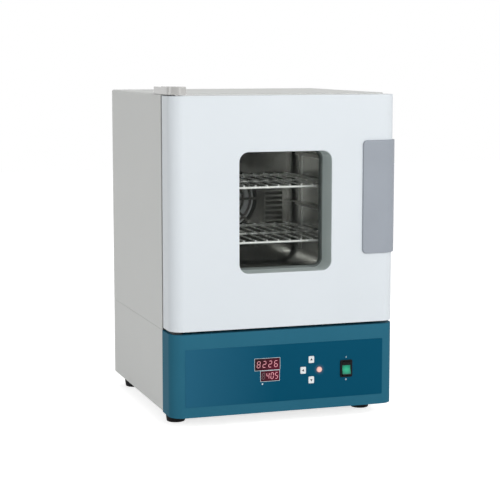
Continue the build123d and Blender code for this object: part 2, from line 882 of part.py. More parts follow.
# Shelves: a bent rod frame with a middle bar and front-to-back wires welded on top
shelf_half = chamber_width / 2 - ledge + rod_radius
shelf_front = frame_y + shelf_front_gap
shelf_rear = duct_front - shelf_rear_gap
shelf_middle = (shelf_front + shelf_rear) / 2
rod_bend = 12.0
for name, height in zip(("shelf_lower", "shelf_upper"), shelf_heights):
    z = up(height)
    wire_z = z + rod_radius + wire_radius - weld
    with BuildPart() as shelf:
        with BuildLine(level(z)) as shelf_loop:
            FilletPolyline(
                (-shelf_half, shelf_front),
                (shelf_half, shelf_front),
                (shelf_half, shelf_rear),
                (-shelf_half, shelf_rear),
                radius=rod_bend,
                close=True,
            )
        with BuildSketch(Plane(shelf_loop.line ^ 0)):
            Circle(rod_radius)
        sweep()
        with Locations((0, shelf_middle, z)):
            Cylinder(cross_bar_radius, 2 * shelf_half, rotation=(0, 90, 0))
        with Locations((0, shelf_middle, wire_z)):
            with GridLocations(wire_pitch, 1, wire_count, 1):
                Cylinder(wire_radius, shelf_rear - shelf_front + rod_radius, rotation=(90, 0, 0))
    save(shelf, name)

# Door skin: a bent front with round upright corners, the window hole and the handle pocket
pocket_low = up(handle_low) + pocket_margin
pocket_high = up(handle_high) - pocket_margin
pocket_cut = cabinet_width / 2 + 10.0 - pocket_left
with BuildPart() as door_skin:
    with BuildSketch(forward(door_rear, door_low)):
        arch_band(cabinet_width, door_depth, front_radius, sheet)
    extrude(amount=door_height)
    with BuildSketch(facing(front_y)):
        with Locations((0, window_z)):
            RectangleRounded(window_width, window_height, window_radius)
    extrude(amount=-2 * sheet, mode=Mode.SUBTRACT)
    with Locations((pocket_left - slip, front_y, pocket_low - slip)):
        Box(
            pocket_cut,
            pocket_depth + slip,
            pocket_high - pocket_low + 2 * slip,
            align=(Align.MIN, Align.MIN, Align.MIN),
            mode=Mode.SUBTRACT,
        )
    rim = [
        edge
        for edge in door_skin.edges().filter_by_position(Axis.Y, front_y - 0.01, front_y + 0.01)
        if abs(edge.center().X) < window_width / 2 + 0.1
        and abs(edge.center().Z - window_z) < window_height / 2 + 0.1
    ]
    fillet(rim, window_rim)
save(door_skin, "door_skin")

# Door caps: moulded ends that close the skin at the top and bottom and hold the hinge bushes
cap_inset = sheet + slip
cap_rear = door_rear - inner_sheet - slip
cap_width = cabinet_width - 2 * cap_inset
cap_reach = cap_rear - front_y - cap_inset
cap_radius = front_radius - cap_inset
for name, z in (("door_cap_bottom", door_low), ("door_cap_top", door_high - cap_thickness)):
    with BuildPart() as door_cap:
        with BuildSketch(forward(cap_rear, z)):
            arch(cap_width, cap_reach, cap_radius)
            with Locations((hinge_x, cap_rear - back(hinge_depth))):
                Circle(bush_radius + shaft_fit, mode=Mode.SUBTRACT)
        extrude(amount=cap_thickness)
    save(door_cap, name)

# Hinge bushes: two flanged sleeves pressed into the caps from inside the door
bush_flange = 1.0
with BuildPart() as hinge_bushes:
    for z, inward in ((door_low, 1), (door_high, -1)):
        bush_axis = Plane(
            origin=(-hinge_x, back(hinge_depth), z), x_dir=(1, 0, 0), z_dir=(0, 0, inward)
        )
        with BuildSketch(bush_axis):
            Circle(bush_radius)
        extrude(amount=cap_thickness + bush_flange)
        with BuildSketch(bush_axis.offset(cap_thickness)):
            Circle(bush_radius + 2.0)
        extrude(amount=bush_flange)
        with BuildSketch(bush_axis):
            Circle(pin_radius + 0.05)
        extrude(amount=cap_thickness + bush_flange, mode=Mode.SUBTRACT)
save(hinge_bushes, "hinge_bushes")

# Window reveal: the sleeve that lines the window, with a lip behind the skin
sleeve_width = window_width + 2 * reveal_sheet
sleeve_height = window_height + 2 * reveal_sheet
sleeve_radius = window_radius + reveal_sheet
reveal_start = front_y + cap_inset
with BuildPart() as window_reveal:
    with BuildSketch(facing(reveal_start)):
        with Locations((0, window_z)):
            RectangleRounded(sleeve_width, sleeve_height, sleeve_radius)
    extrude(amount=-(back(reveal_end) - reveal_start))
    with BuildSketch(facing(reveal_start)):
        with Locations((0, window_z)):
            RectangleRounded(
                sleeve_width + 2 * reveal_lip, sleeve_height + 2 * reveal_lip, sleeve_radius + reveal_lip
            )
    extrude(amount=-reveal_sheet)
    with BuildSketch(facing(reveal_start)):
        with Locations((0, window_z)):
            RectangleRounded(window_width, window_height, window_radius)
    extrude(amount=-(back(reveal_end) - reveal_start), mode=Mode.SUBTRACT)
save(window_reveal, "window_reveal")

# Double glazing: two panes in grooved seals inside the reveal
groove = 2.5
pane_inset = glass_seal_width - groove
seal_lip = 1.0
with BuildPart() as glass_seals:
    for depth in (outer_glass_depth, inner_glass_depth):
        with BuildSketch(facing(back(depth) - seal_lip)):
            with Locations((0, window_z)):
                RectangleRounded(window_width - 2 * slip, window_height - 2 * slip, window_radius - slip)
                RectangleRounded(
                    window_width - 2 * glass_seal_width,
                    window_height - 2 * glass_seal_width,
                    window_radius - glass_seal_width,
                    mode=Mode.SUBTRACT,
                )
        extrude(amount=-(glass + 2 * seal_lip))
        with BuildSketch(facing(back(depth))):
            with Locations((0, window_z)):
                RectangleRounded(
                    window_width - 2 * pane_inset,
                    window_height - 2 * pane_inset,
                    window_radius - pane_inset,
                )
        extrude(amount=-glass, mode=Mode.SUBTRACT)
save(glass_seals, "glass_seals")

for name, depth in (("outer_glass", outer_glass_depth), ("inner_glass", inner_glass_depth)):
    with BuildPart() as pane:
        with BuildSketch(facing(back(depth))):
            with Locations((0, window_z)):
                RectangleRounded(
                    window_width - 2 * (pane_inset + slip),
                    window_height - 2 * (pane_inset + slip),
                    window_radius - pane_inset - slip,
                )
        extrude(amount=-glass)
    save(pane, name)

# Door inner panel: flat back sheet with a folded edge down each side
panel_fold = 8.0
inner_width = inside_width - 2 * slip
with BuildPart() as door_inner_panel:
    with BuildSketch(facing(door_rear - inner_sheet)):
        with Locations((0, (door_low + door_high) / 2)):
            Rectangle(inner_width, door_height)
        with Locations((0, window_z)):
            RectangleRounded(
                sleeve_width + 2 * slip, sleeve_height + 2 * slip, sleeve_radius + slip, mode=Mode.SUBTRACT
            )
    extrude(amount=-inner_sheet)
    fold_height = door_height - 2 * (cap_thickness + slip)
    for side, toward in ((-1, Align.MIN), (1, Align.MAX)):
        with Locations((side * inner_width / 2, door_rear - inner_sheet, (door_low + door_high) / 2)):
            Box(inner_sheet, panel_fold, fold_height, align=(toward, Align.MAX, Align.CENTER))
save(door_inner_panel, "door_inner_panel")

# Door handle: a grip plate wrapped round the door's edge over a moulded finger pocket
half_width = cabinet_width / 2
corner_x = half_width - front_radius
corner_y = front_y + front_radius
grip_outer = front_radius + handle_proud
grip_inner = grip_outer - grip_wall
grip_turn = degrees(asin((front_radius - grip_end_depth) / grip_outer))
pocket_back = back(pocket_depth)


def on_corner(radius, angle):
    """Point at an angle on a circle about the centre of the door's right front corner."""
    return (corner_x + radius * cos(radians(angle)), corner_y + radius * sin(radians(angle)))


with BuildPart() as door_handle:
    with BuildSketch(level(up(handle_low))):
        with BuildLine():
            CenterArc((corner_x, corner_y), grip_outer, -90, 90 - grip_turn)
            Line(on_corner(grip_outer, -grip_turn), on_corner(front_radius, -grip_turn))
            CenterArc((corner_x, corner_y), front_radius, -90, 90 - grip_turn)
            Polyline(
                (corner_x, front_y),
                (handle_left, front_y),
                (handle_left, front_y - handle_proud),
                (corner_x, front_y - handle_proud),
            )
        make_face()
    extrude(amount=handle_high - handle_low)
    with BuildSketch(level(pocket_low)):
        with BuildLine():
            CenterArc((corner_x, corner_y), front_radius, -90, 90)
            Polyline(
                (half_width, corner_y),
                (half_width, pocket_back),
                (pocket_left, pocket_back),
                (pocket_left, front_y),
                (corner_x, front_y),
            )
        make_face()
    extrude(amount=pocket_high - pocket_low)
    with BuildSketch(level(pocket_low + pocket_wall)):
        with BuildLine():
            CenterArc((corner_x, corner_y), grip_inner, -90, 90 - grip_turn)
            Polyline(
                on_corner(grip_inner, -grip_turn),
                on_corner(grip_outer + 10, -grip_turn),
                (corner_x + grip_outer + 10, pocket_back - pocket_wall),
                (pocket_left + pocket_wall, pocket_back - pocket_wall),
                (pocket_left + pocket_wall, corner_y - grip_inner),
                (corner_x, corner_y - grip_inner),
            )
        make_face()
    extrude(amount=pocket_high - pocket_low - 2 * pocket_wall, mode=Mode.SUBTRACT)
    fillet(door_handle.edges().filter_by(Axis.Y).group_by(Axis.X)[0], handle_corner)
save(door_handle, "door_handle")

# Door insulation: wool that fills the door around the reveal, the pocket and the hinge pins
fill_inset = sheet + soft_gap
fill_rear = door_rear - inner_sheet - soft_gap
fill_low = door_low + cap_thickness + soft_gap
fill_height = door_height - 2 * (cap_thickness + soft_gap)
with BuildPart() as door_insulation:
    with BuildSketch(forward(fill_rear, fill_low)):
        arch(
            inner_width - 2 * (inner_sheet + soft_gap),
            fill_rear - front_y - fill_inset,
            front_radius - fill_inset,
        )
    extrude(amount=fill_height)
    for grow, length in (
        (soft_gap, door_depth),
        (reveal_lip + soft_gap, cap_inset + reveal_sheet + soft_gap),
    ):
        with BuildSketch(facing(front_y)):
            with Locations((0, window_z)):
                RectangleRounded(
                    sleeve_width + 2 * grow, sleeve_height + 2 * grow, sleeve_radius + grow
                )
        extrude(amount=-length, mode=Mode.SUBTRACT)
    with Locations((pocket_left - soft_gap, front_y, pocket_low - soft_gap)):
        Box(
            pocket_cut,
            pocket_depth + soft_gap,
            pocket_high - pocket_low + 2 * soft_gap,
            align=(Align.MIN, Align.MIN, Align.MIN),
            mode=Mode.SUBTRACT,
        )
    for z in (door_low, door_high):
        with Locations((-hinge_x, back(hinge_depth), z)):
            Cylinder(bush_radius + 3.0, 2 * (pin_reach + 3.0), mode=Mode.SUBTRACT)
save(door_insulation, "door_insulation")

# Door gasket: a soft ring on the inner panel that meets the front frame
gasket_thickness = door_bay - door_depth - soft_gap
with BuildPart() as door_gasket:
    with BuildSketch(facing(door_rear)):
        with Locations((0, chamber_middle)):
            for grow, mode in (
                (gasket_offset + gasket_width, Mode.ADD),
                (gasket_offset, Mode.SUBTRACT),
            ):
                RectangleRounded(
                    chamber_width + 2 * grow, chamber_height + 2 * grow, chamber_radius + grow, mode=mode
                )
    extrude(amount=-gasket_thickness)
    fillet(door_gasket.faces().sort_by(Axis.Y)[-1].edges(), 0.35 * gasket_width)
save(door_gasket, "door_gasket")

# Door magnets: two blocks on the inner panel that hold the door to the steel front frame
magnet_x = (chamber_width / 2 + gasket_offset + gasket_width + half_width - sheet) / 2
magnet_spread = 0.28 * door_height
with BuildPart() as door_magnets:
    for z in (window_z - magnet_spread, window_z + magnet_spread):
        with Locations((magnet_x, door_rear, z)):
            Box(
                magnet_width,
                gasket_thickness,
                magnet_height,
                align=(Align.CENTER, Align.MIN, Align.CENTER),
            )
save(door_magnets, "door_magnets")

# Hinge plates and pins: one pair on the roof, one on the deck under the door
plate_front = back(hinge_depth) - hinge_plate_reach
plate_rear = back(hinge_plate_rear)
for name, z in (("hinge_plate_top", roof), ("hinge_plate_bottom", base_top)):
    with BuildPart() as hinge_leaf:
        with BuildSketch(level(z)):
            with Locations((hinge_screw_x, (plate_front + plate_rear) / 2)):
                RectangleRounded(hinge_plate_width, plate_rear - plate_front, hinge_plate_corner)
            with Locations((-hinge_x, back(hinge_depth))):
                Circle(pin_radius + shaft_fit, mode=Mode.SUBTRACT)
            for depth in hinge_screw_depths:
                with Locations((hinge_screw_x, back(depth))):
                    Circle(screw_hole, mode=Mode.SUBTRACT)
        extrude(amount=hinge_plate)
    save(hinge_leaf, name)

with BuildPart() as hinge_pin_top:
    with BuildSketch(Plane(origin=(-hinge_x, back(hinge_depth), roof - pin_reach))):
        Circle(pin_radius)
    extrude(amount=pin_reach + hinge_plate)
    chamfer(hinge_pin_top.faces().sort_by(Axis.Z)[0].edges(), pin_chamfer)
    with BuildSketch(Plane(origin=(-hinge_x, back(hinge_depth), roof + hinge_plate))):
        Circle(shoulder_radius)
    extrude(amount=pin_head)
save(hinge_pin_top, "hinge_pin_top")

# The lower pin has a shoulder that carries the door just above its plate
shoulder_top = door_low - soft_gap
with BuildPart() as hinge_pin_bottom:
    with BuildSketch(Plane(origin=(-hinge_x, back(hinge_depth), base_top))):
        Circle(pin_radius)
    extrude(amount=door_low + pin_reach - door_top_gap - base_top)
    chamfer(hinge_pin_bottom.faces().sort_by(Axis.Z)[-1].edges(), pin_chamfer)
    with BuildSketch(Plane(origin=(-hinge_x, back(hinge_depth), base_top + hinge_plate))):
        Circle(shoulder_radius)
    extrude(amount=shoulder_top - base_top - hinge_plate)
save(hinge_pin_bottom, "hinge_pin_bottom")

# Hinge cover: a hollow cap over the roof plate, round at its front corner, with a lower tail
cap_left = -half_width
cap_front = front_y + 0.5
cap_step = back(cover_cap_step)
tail_side = 1.0
tail_drop = 1.5
tail_length = back(cover_cap_rear) - cap_step
with BuildPart() as hinge_cover:
    for inset, mode in ((0, Mode.ADD), (cover_cap_wall, Mode.SUBTRACT)):
        with BuildSketch(level(roof)) as cap_plan:
            with Locations((cap_left + inset, cap_front + inset)):
                Rectangle(
                    cover_cap_width - 2 * inset,
                    cap_step - cap_front - 2 * inset,
                    align=(Align.MIN, Align.MIN),
                )
            round_corner = cap_plan.vertices().group_by(Axis.Y)[0].sort_by(Axis.X)[0]
            fillet(round_corner, front_radius - inset)
        extrude(amount=cover_cap_height - inset, mode=mode)
        if mode == Mode.ADD:
            fillet(hinge_cover.faces().sort_by(Axis.Z)[-1].edges(), cover_cap_wall)
        with BuildSketch(level(roof)):
            with Locations((cap_left + tail_side + inset, cap_step - 4 * cover_cap_wall)):
                Rectangle(
                    cover_cap_width - 2 * tail_side - 2 * inset,
                    tail_length + 4 * cover_cap_wall - inset,
                    align=(Align.MIN, Align.MIN),
                )
        extrude(amount=cover_cap_height - tail_drop - inset, mode=mode)
save(hinge_cover, "hinge_cover")

# Control housing: a moulded shell round the front of the base, with posts for its board
housing_height = base_top - foot_height
post_radius = 3.0
board_width = 166.0
board_height = 82.0
board_middle = (5.0, up(75.0))
board_post_places = [
    (
        board_middle[0] + x * (board_width / 2 - board_screw_inset),
        board_middle[1] + z * (board_height / 2 - board_screw_inset),
    )
    for x in (-1, 1)
    for z in (-1, 1)
]


def panel_cut_outs(mode):
    """Openings for the displays, lamp, keys and switch, the same in the film and the shell."""
    for width, height, x, z in (upper_display, lower_display):
        with Locations((x, up(z))):
            Rectangle(width + 2 * slip, height + 2 * slip, mode=mode)
    with Locations((led_place[0], up(led_place[1]))):
        Circle(led_radius + slip, mode=mode)
    for x, z in key_places.values():
        with Locations((x, up(z))):
            RectangleRounded(
                key_width + 2 * key_gap, key_height + 2 * key_gap, key_corner + key_gap, mode=mode
            )
    with Locations((set_key_place[0], up(set_key_place[1]))):
        Circle(set_key_radius + key_gap, mode=mode)
    with Locations((switch_place[0], up(switch_place[1]))):
        Rectangle(switch_neck + 2 * slip, switch_neck_height + 2 * slip, mode=mode)


with BuildPart() as control_housing:
    with BuildSketch(forward(frame_y, foot_height)):
        arch(cabinet_width, door_bay, front_radius)
    extrude(amount=housing_height)
    top_rim = control_housing.edges().group_by(Axis.Z)[-1].sort_by(Axis.Y)[:-1]
    fillet(top_rim, panel_wall / 2)
    with BuildSketch(forward(frame_y, foot_height)):
        arch(cabinet_width - 2 * panel_wall, door_bay - panel_wall, front_radius - panel_wall)
    extrude(amount=housing_height - panel_wall, mode=Mode.SUBTRACT)
    with BuildSketch(facing(front_y)):
        panel_cut_outs(Mode.ADD)
    extrude(amount=-2 * panel_wall, mode=Mode.SUBTRACT)
    with BuildSketch(facing(front_y + panel_wall / 2)):
        with Locations(*board_post_places):
            Circle(post_radius)
    extrude(amount=-(board_depth - panel_wall / 2))
save(control_housing, "control_housing")

# Panel overlay: printed film on the flat front of the housing
film_y = front_y - film
with BuildPart() as panel_overlay:
    with BuildSketch(facing(film_y)):
        with Locations((0, up((film_low + film_high) / 2))):
            RectangleRounded(film_width, film_high - film_low, 2.0)
        panel_cut_outs(Mode.SUBTRACT)
    extrude(amount=-film)
save(panel_overlay, "panel_overlay")

# Displays and lamp: solid blocks that reach from their windows to the board
display_face = front_y - film + 0.2
board_front = back(board_depth)
for name, (width, height, x, z) in (
    ("display_upper", upper_display),
    ("display_lower", lower_display),
):
    with BuildPart() as display:
        with BuildSketch(facing(display_face)):
            with Locations((x, up(z))):
                Rectangle(width, height)
        extrude(amount=-(board_front - display_face))
        chamfer(display.faces().sort_by(Axis.Y)[0].edges(), 0.4)
    save(display, name)

with BuildPart() as status_led:
    with BuildSketch(facing(film_y)):
        with Locations((led_place[0], up(led_place[1]))):
            Circle(led_radius)
    extrude(amount=-(board_front - film_y))
    fillet(status_led.faces().sort_by(Axis.Y)[0].edges(), 0.6 * led_radius)
save(status_led, "status_led")

# Keys: caps with a flange behind the shell and a stem that meets the board's press switch
key_face = front_y - key_proud
flange_front = front_y + panel_wall + slip / 2
flange_rear = flange_front + key_flange
stem_end = board_front - tact_height - key_travel - slip
stem_radius = 2.5
for name, (x, z) in key_places.items():
    with BuildPart() as key:
        with BuildSketch(facing(key_face)):
            with Locations((x, up(z))):
                RectangleRounded(key_width, key_height, key_corner)
        extrude(amount=-(flange_front - key_face))
        fillet(key.faces().sort_by(Axis.Y)[0].edges(), 0.6)
        with BuildSketch(facing(flange_front)):
            with Locations((x, up(z))):
                Rectangle(key_width + 2, key_height + 2)
        extrude(amount=-key_flange)
        with BuildSketch(facing(flange_rear)):
            with Locations((x, up(z))):
                Circle(stem_radius)
        extrude(amount=-(stem_end - flange_rear))
    save(key, name)

with BuildPart() as key_set:
    for y, length, radius in (
        (key_face, flange_front - key_face, set_key_radius),
        (flange_front, key_flange, set_key_radius + 1),
        (flange_rear, stem_end - flange_rear, stem_radius),
    ):
        with BuildSketch(facing(y)):
            with Locations((set_key_place[0], up(set_key_place[1]))):
                Circle(radius)
        extrude(amount=-length)
        if y == key_face:
            fillet(key_set.faces().sort_by(Axis.Y)[0].edges(), 0.6)
save(key_set, "key_set")

# Controller board: press switches in front, the driver chip, relays and plugs behind
board_rear = board_front + board_sheet
board_transformer = (-38.0, 88.0, 30.0, 26.0, 22.0)
board_relay_left = (0.0, 92.0, 16.0, 12.0, 15.0)
board_relay_right = (20.0, 92.0, 16.0, 12.0, 15.0)
board_chip = (-8.0, 60.0, 14.0, 14.0, 1.6)
board_plug_wide = (-50.0, 46.0, 34.0, 8.0, 9.0)
board_plug_narrow = (30.0, 46.0, 22.0, 8.0, 9.0)
board_can_places = (44.0, 58.0)
board_can_height = 84.0
board_can_radius = 4.0
board_can_length = 14.0
with BuildPart() as controller_board:
    with BuildSketch(facing(board_front)):
        with Locations(board_middle):
            RectangleRounded(board_width, board_height, sheet_corner)
    extrude(amount=-board_sheet)
    with BuildSketch(facing(board_front)):
        with Locations(*[(x, up(z)) for x, z in (*key_places.values(), set_key_place)]):
            Rectangle(tact_width, tact_width)
    extrude(amount=tact_height)
    for x, z, width, height, depth in (
        board_transformer,
        board_relay_left,
        board_relay_right,
        board_chip,
        board_plug_wide,
        board_plug_narrow,
    ):
        with Locations((x, board_rear, up(z))):
            Box(width, depth, height, align=(Align.CENTER, Align.MIN, Align.CENTER))
    for x in board_can_places:
        with BuildSketch(facing(board_rear)):
            with Locations((x, up(board_can_height))):
                Circle(board_can_radius)
        extrude(amount=-board_can_length)
save(controller_board, "controller_board")

# Power switch body: a bezel on the film, a snap-in neck and a hollow for the rocker
switch_x = switch_place[0]
switch_z = up(switch_place[1])
bezel_front = film_y - bezel_proud
pivot_y = back(rocker_pivot_depth)
hollow_rear = back(switch_hollow)
with BuildPart() as switch_body:
    with BuildSketch(facing(bezel_front)):
        with Locations((switch_x, switch_z)):
            RectangleRounded(bezel_width, bezel_height, bezel_corner)
    extrude(amount=-bezel_proud)
    fillet(switch_body.faces().sort_by(Axis.Y)[0].edges(), bezel_edge)
    with BuildSketch(facing(film_y)):
        with Locations((switch_x, switch_z)):
            Rectangle(switch_neck, switch_neck_height)
    extrude(amount=-(back(switch_depth) - film_y))
    with BuildSketch(facing(bezel_front)):
        with Locations((switch_x, switch_z)):
            Rectangle(rocker_width + 2 * rocker_gap, 2 * (rocker_swing + rocker_end_gap))
    extrude(amount=-(hollow_rear - bezel_front), mode=Mode.SUBTRACT)
    with Locations((switch_x, pivot_y, switch_z)):
        Cylinder(
            trunnion_radius + trunnion_fit,
            rocker_width + 2 * trunnion_reach + 2 * slip,
            rotation=(0, 90, 0),
            mode=Mode.SUBTRACT,
        )
    for step in (-1, 0, 1):
        with Locations((switch_x, back(switch_depth), switch_z + step * terminal_pitch)):
            Box(
                terminal_width,
                terminal_length,
                terminal_sheet,
                align=(Align.CENTER, Align.MIN, Align.CENTER),
            )
save(switch_body, "switch_body")

# Rocker: a shallow valley face on a round-backed block, with two trunnions; rests switched on
rocker_plane = Plane(
    origin=(switch_x - rocker_width / 2, pivot_y, switch_z),
    x_dir=(0, -cos(radians(rocker_tilt)), sin(radians(rocker_tilt))),
    z_dir=(1, 0, 0),
)
with BuildPart() as switch_rocker:
    with BuildSketch(rocker_plane):
        with BuildLine():
            Polyline(
                (rocker_valley, 0),
                (rocker_tip, rocker_swing),
                (-rocker_rear, rocker_swing),
                (-rocker_rear, -rocker_swing),
                (rocker_tip, -rocker_swing),
                close=True,
            )
        make_face()
        Circle(rocker_swing, mode=Mode.INTERSECT)
    extrude(amount=rocker_width)
    with Locations((switch_x, pivot_y, switch_z)):
        Cylinder(trunnion_radius, rocker_width + 2 * trunnion_reach, rotation=(0, 90, 0))
save(switch_rocker, "switch_rocker")

# Mains inlet: a flanged socket body snapped into the back panel, with three flat pins
inlet_z = up(inlet_height)
with BuildPart() as mains_inlet:
    with BuildSketch(facing(rear_y)):
        with Locations((inlet_x, inlet_z)):
            RectangleRounded(
                inlet_width + 2 * inlet_flange, inlet_tall + 2 * inlet_flange, inlet_flange_corner
            )
    extrude(amount=-inlet_flange_sheet)
    fillet(mains_inlet.faces().sort_by(Axis.Y)[-1].edges(), inlet_edge)
    with BuildSketch(facing(rear_y)):
        with Locations((inlet_x, inlet_z)):
            RectangleRounded(inlet_width, inlet_tall, inlet_corner)
    extrude(amount=inlet_length)
    with BuildSketch(facing(rear_y + inlet_flange_sheet)) as socket:
        with Locations((inlet_x, inlet_z)):
            Rectangle(socket_width, socket_tall)
        chamfer(socket.vertices().group_by(Axis.Z)[-1], socket_chamfer)
    extrude(amount=socket_depth, mode=Mode.SUBTRACT)
    pin_foot = rear_y + inlet_flange_sheet - socket_depth - 1.0
    for x, z in ((-pin_spread, pin_low), (0.0, earth_rise), (pin_spread, pin_low)):
        with Locations((inlet_x + x, pin_foot, inlet_z + z)):
            Box(*inlet_pin, align=(Align.CENTER, Align.MIN, Align.CENTER))
        with Locations((inlet_x + x, rear_y - inlet_length, inlet_z + z)):
            Box(*inlet_tab, align=(Align.CENTER, Align.MAX, Align.CENTER))
save(mains_inlet, "mains_inlet")

# Power board: transformer, fuse, smoothing can, relay pair and terminal row on four bosses
supply_z = foot_height + sheet + supply_boss
supply_top = supply_z + board_sheet
supply_y = back(supply_depth)
transformer_base = (-32.0, 8.0, 46.0, 38.0, 8.0)
transformer_coil = (-32.0, 8.0, 28.0, 38.0, 34.0)
transformer_core = (-32.0, 8.0, 46.0, 20.0, 34.0)
supply_relay_left = (12.0, 22.0, 19.0, 15.0, 15.0)
supply_relay_right = (36.0, 22.0, 19.0, 15.0, 15.0)
terminal_row = (0.0, -36.0, 90.0, 12.0, 14.0)
fuse_holder = (14.0, 0.0, 22.0, 7.0, 8.0)
can_offset = (42.0, -8.0)
can_radius = 9.0
can_height = 24.0
with BuildPart() as power_board:
    with BuildSketch(level(supply_z)):
        with Locations((supply_x, supply_y)):
            RectangleRounded(supply_width, supply_length, sheet_corner)
        with Locations(*supply_screw_places):
            Circle(screw_hole, mode=Mode.SUBTRACT)
    extrude(amount=board_sheet)
    for x, y, width, length, height in (
        transformer_base,
        transformer_coil,
        transformer_core,
        supply_relay_left,
        supply_relay_right,
        terminal_row,
        fuse_holder,
    ):
        with Locations((supply_x + x, supply_y + y, supply_top)):
            Box(width, length, height, align=(Align.CENTER, Align.CENTER, Align.MIN))
    with Locations((supply_x + can_offset[0], supply_y + can_offset[1], supply_top)):
        Cylinder(can_radius, can_height, align=(Align.CENTER, Align.CENTER, Align.MIN))
save(power_board, "power_board")

# Solid state relay: a block on its mounting flange with four screw terminals
relay_y = back(relay_depth)
relay_z = foot_height + sheet
relay_width = 45.0
relay_length = 58.0
relay_height = 23.0
relay_base = 4.0
relay_screw = 3.0
with BuildPart() as solid_state_relay:
    with Locations((relay_x, relay_y, relay_z)):
        Box(relay_width, relay_length, relay_base, align=(Align.CENTER, Align.CENTER, Align.MIN))
        Box(
            relay_width,
            relay_length - 2 * relay_recess,
            relay_height,
            align=(Align.CENTER, Align.CENTER, Align.MIN),
        )
        Box(
            relay_width - 2 * relay_recess,
            relay_length,
            0.55 * relay_height,
            align=(Align.CENTER, Align.CENTER, Align.MIN),
        )
    with Locations((relay_x, relay_y, relay_z + 0.55 * relay_height)):
        with GridLocations(0.55 * relay_width, relay_length - relay_recess, 2, 2):
            Cylinder(relay_screw, relay_screw, align=(Align.CENTER, Align.CENTER, Align.MIN))
save(solid_state_relay, "solid_state_relay")

# Feet: tapered rubber with a hollow for the screw head
foot_recess = 12.0
for name, (x, y) in foot_places.items():
    with BuildPart() as foot:
        with BuildSketch(Plane.XZ.offset(-y)) as foot_profile:
            with Locations((x, 0)):
                Polygon(
                    (0, 0),
                    (foot_tip_radius, 0),
                    (foot_top_radius, foot_height),
                    (0, foot_height),
                    align=None,
                )
            fillet(foot_profile.vertices().group_by(Axis.Z)[0].sort_by(Axis.X)[-1], 1.5)
        revolve(axis=Axis((x, y, 0), (0, 0, 1)))
        with Locations((x, y, 0)):
            Cylinder(
                foot_screw_radius + slip,
                foot_height,
                align=(Align.CENTER, Align.CENTER, Align.MIN),
                mode=Mode.SUBTRACT,
            )
            Cylinder(
                foot_screw_head_radius + 1.5,
                foot_recess,
                align=(Align.CENTER, Align.CENTER, Align.MIN),
                mode=Mode.SUBTRACT,
            )
    save(foot, name)

# Foot screws
with BuildPart() as foot_screws:
    for x, y in foot_places.values():
        with Locations((x, y, foot_recess)):
            Cylinder(
                foot_screw_head_radius, 3.0, align=(Align.CENTER, Align.CENTER, Align.MAX)
            )
            Cylinder(
                foot_screw_radius,
                foot_height - foot_recess + sheet + 4.0,
                align=(Align.CENTER, Align.CENTER, Align.MIN),
            )
save(foot_screws, "foot_screws")

# Case screws: one size for the back panel, the motor plate, its cover, the hinges and the board
with BuildPart() as case_screw:
    Cylinder(screw_head_radius, screw_head, align=(Align.CENTER, Align.CENTER, Align.MIN))
    fillet(case_screw.faces().sort_by(Axis.Z)[-1].edges(), 0.4 * screw_head)
    Cylinder(screw_radius, screw_length, align=(Align.CENTER, Align.CENTER, Align.MAX))
rear_seats = [(x, rear_y, z) for x, z in panel_screw_places]
rear_seats += [(x, rear_y + cover_sheet, z) for x, z in cover_screw_places]
rear_seats += [(x, motor_front, z) for x, z in motor_screw_places]
level_seats = [
    (hinge_screw_x, back(depth), z + hinge_plate)
    for depth in hinge_screw_depths
    for z in (base_top, roof)
]
level_seats += [(x, y, supply_top) for x, y in supply_screw_places]
with BuildPart() as case_screws:
    with Locations(*[Plane(origin=seat, x_dir=(-1, 0, 0), z_dir=(0, 1, 0)) for seat in rear_seats]):
        add(case_screw.part)
    with Locations(*level_seats):
        add(case_screw.part)
save(case_screws, "case_screws")
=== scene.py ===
"""Looks of the bench drying oven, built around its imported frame, in metres."""

import logging
from collections.abc import Callable, Iterable, Sequence
from dataclasses import dataclass, field
from enum import Enum
from math import asin, cos, degrees, pi, radians, sin

import bmesh
import bpy
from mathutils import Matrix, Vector


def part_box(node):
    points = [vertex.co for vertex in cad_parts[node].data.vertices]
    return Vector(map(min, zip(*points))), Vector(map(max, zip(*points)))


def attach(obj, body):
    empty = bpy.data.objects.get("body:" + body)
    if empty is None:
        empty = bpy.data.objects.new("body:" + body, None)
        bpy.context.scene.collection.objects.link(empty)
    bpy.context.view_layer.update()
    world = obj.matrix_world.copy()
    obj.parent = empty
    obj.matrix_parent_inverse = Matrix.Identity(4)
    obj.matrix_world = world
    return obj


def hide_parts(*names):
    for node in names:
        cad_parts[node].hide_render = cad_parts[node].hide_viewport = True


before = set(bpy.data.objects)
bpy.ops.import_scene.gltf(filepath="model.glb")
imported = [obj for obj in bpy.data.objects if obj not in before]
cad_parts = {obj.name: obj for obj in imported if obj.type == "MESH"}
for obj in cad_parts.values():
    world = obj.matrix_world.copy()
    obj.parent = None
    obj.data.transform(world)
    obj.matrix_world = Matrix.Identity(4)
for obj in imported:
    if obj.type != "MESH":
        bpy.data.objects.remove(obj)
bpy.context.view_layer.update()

log = logging.getLogger("drying_oven")

MM = 0.001
# Edges this near to a plane count as lying on it
TOUCH = 0.05 * MM
Point = tuple[float, float]
Place = tuple[float, float, float]
Colour = tuple[float, float, float]
Sockets = dict[str, "Value | float | tuple"]


def low(node: str) -> Vector:
    """Lowest corner of a frame node."""
    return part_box(node)[0]


def high(node: str) -> Vector:
    """Highest corner of a frame node."""
    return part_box(node)[1]


def middle(node: str) -> Vector:
    """Centre of a frame node's box."""
    return (low(node) + high(node)) / 2


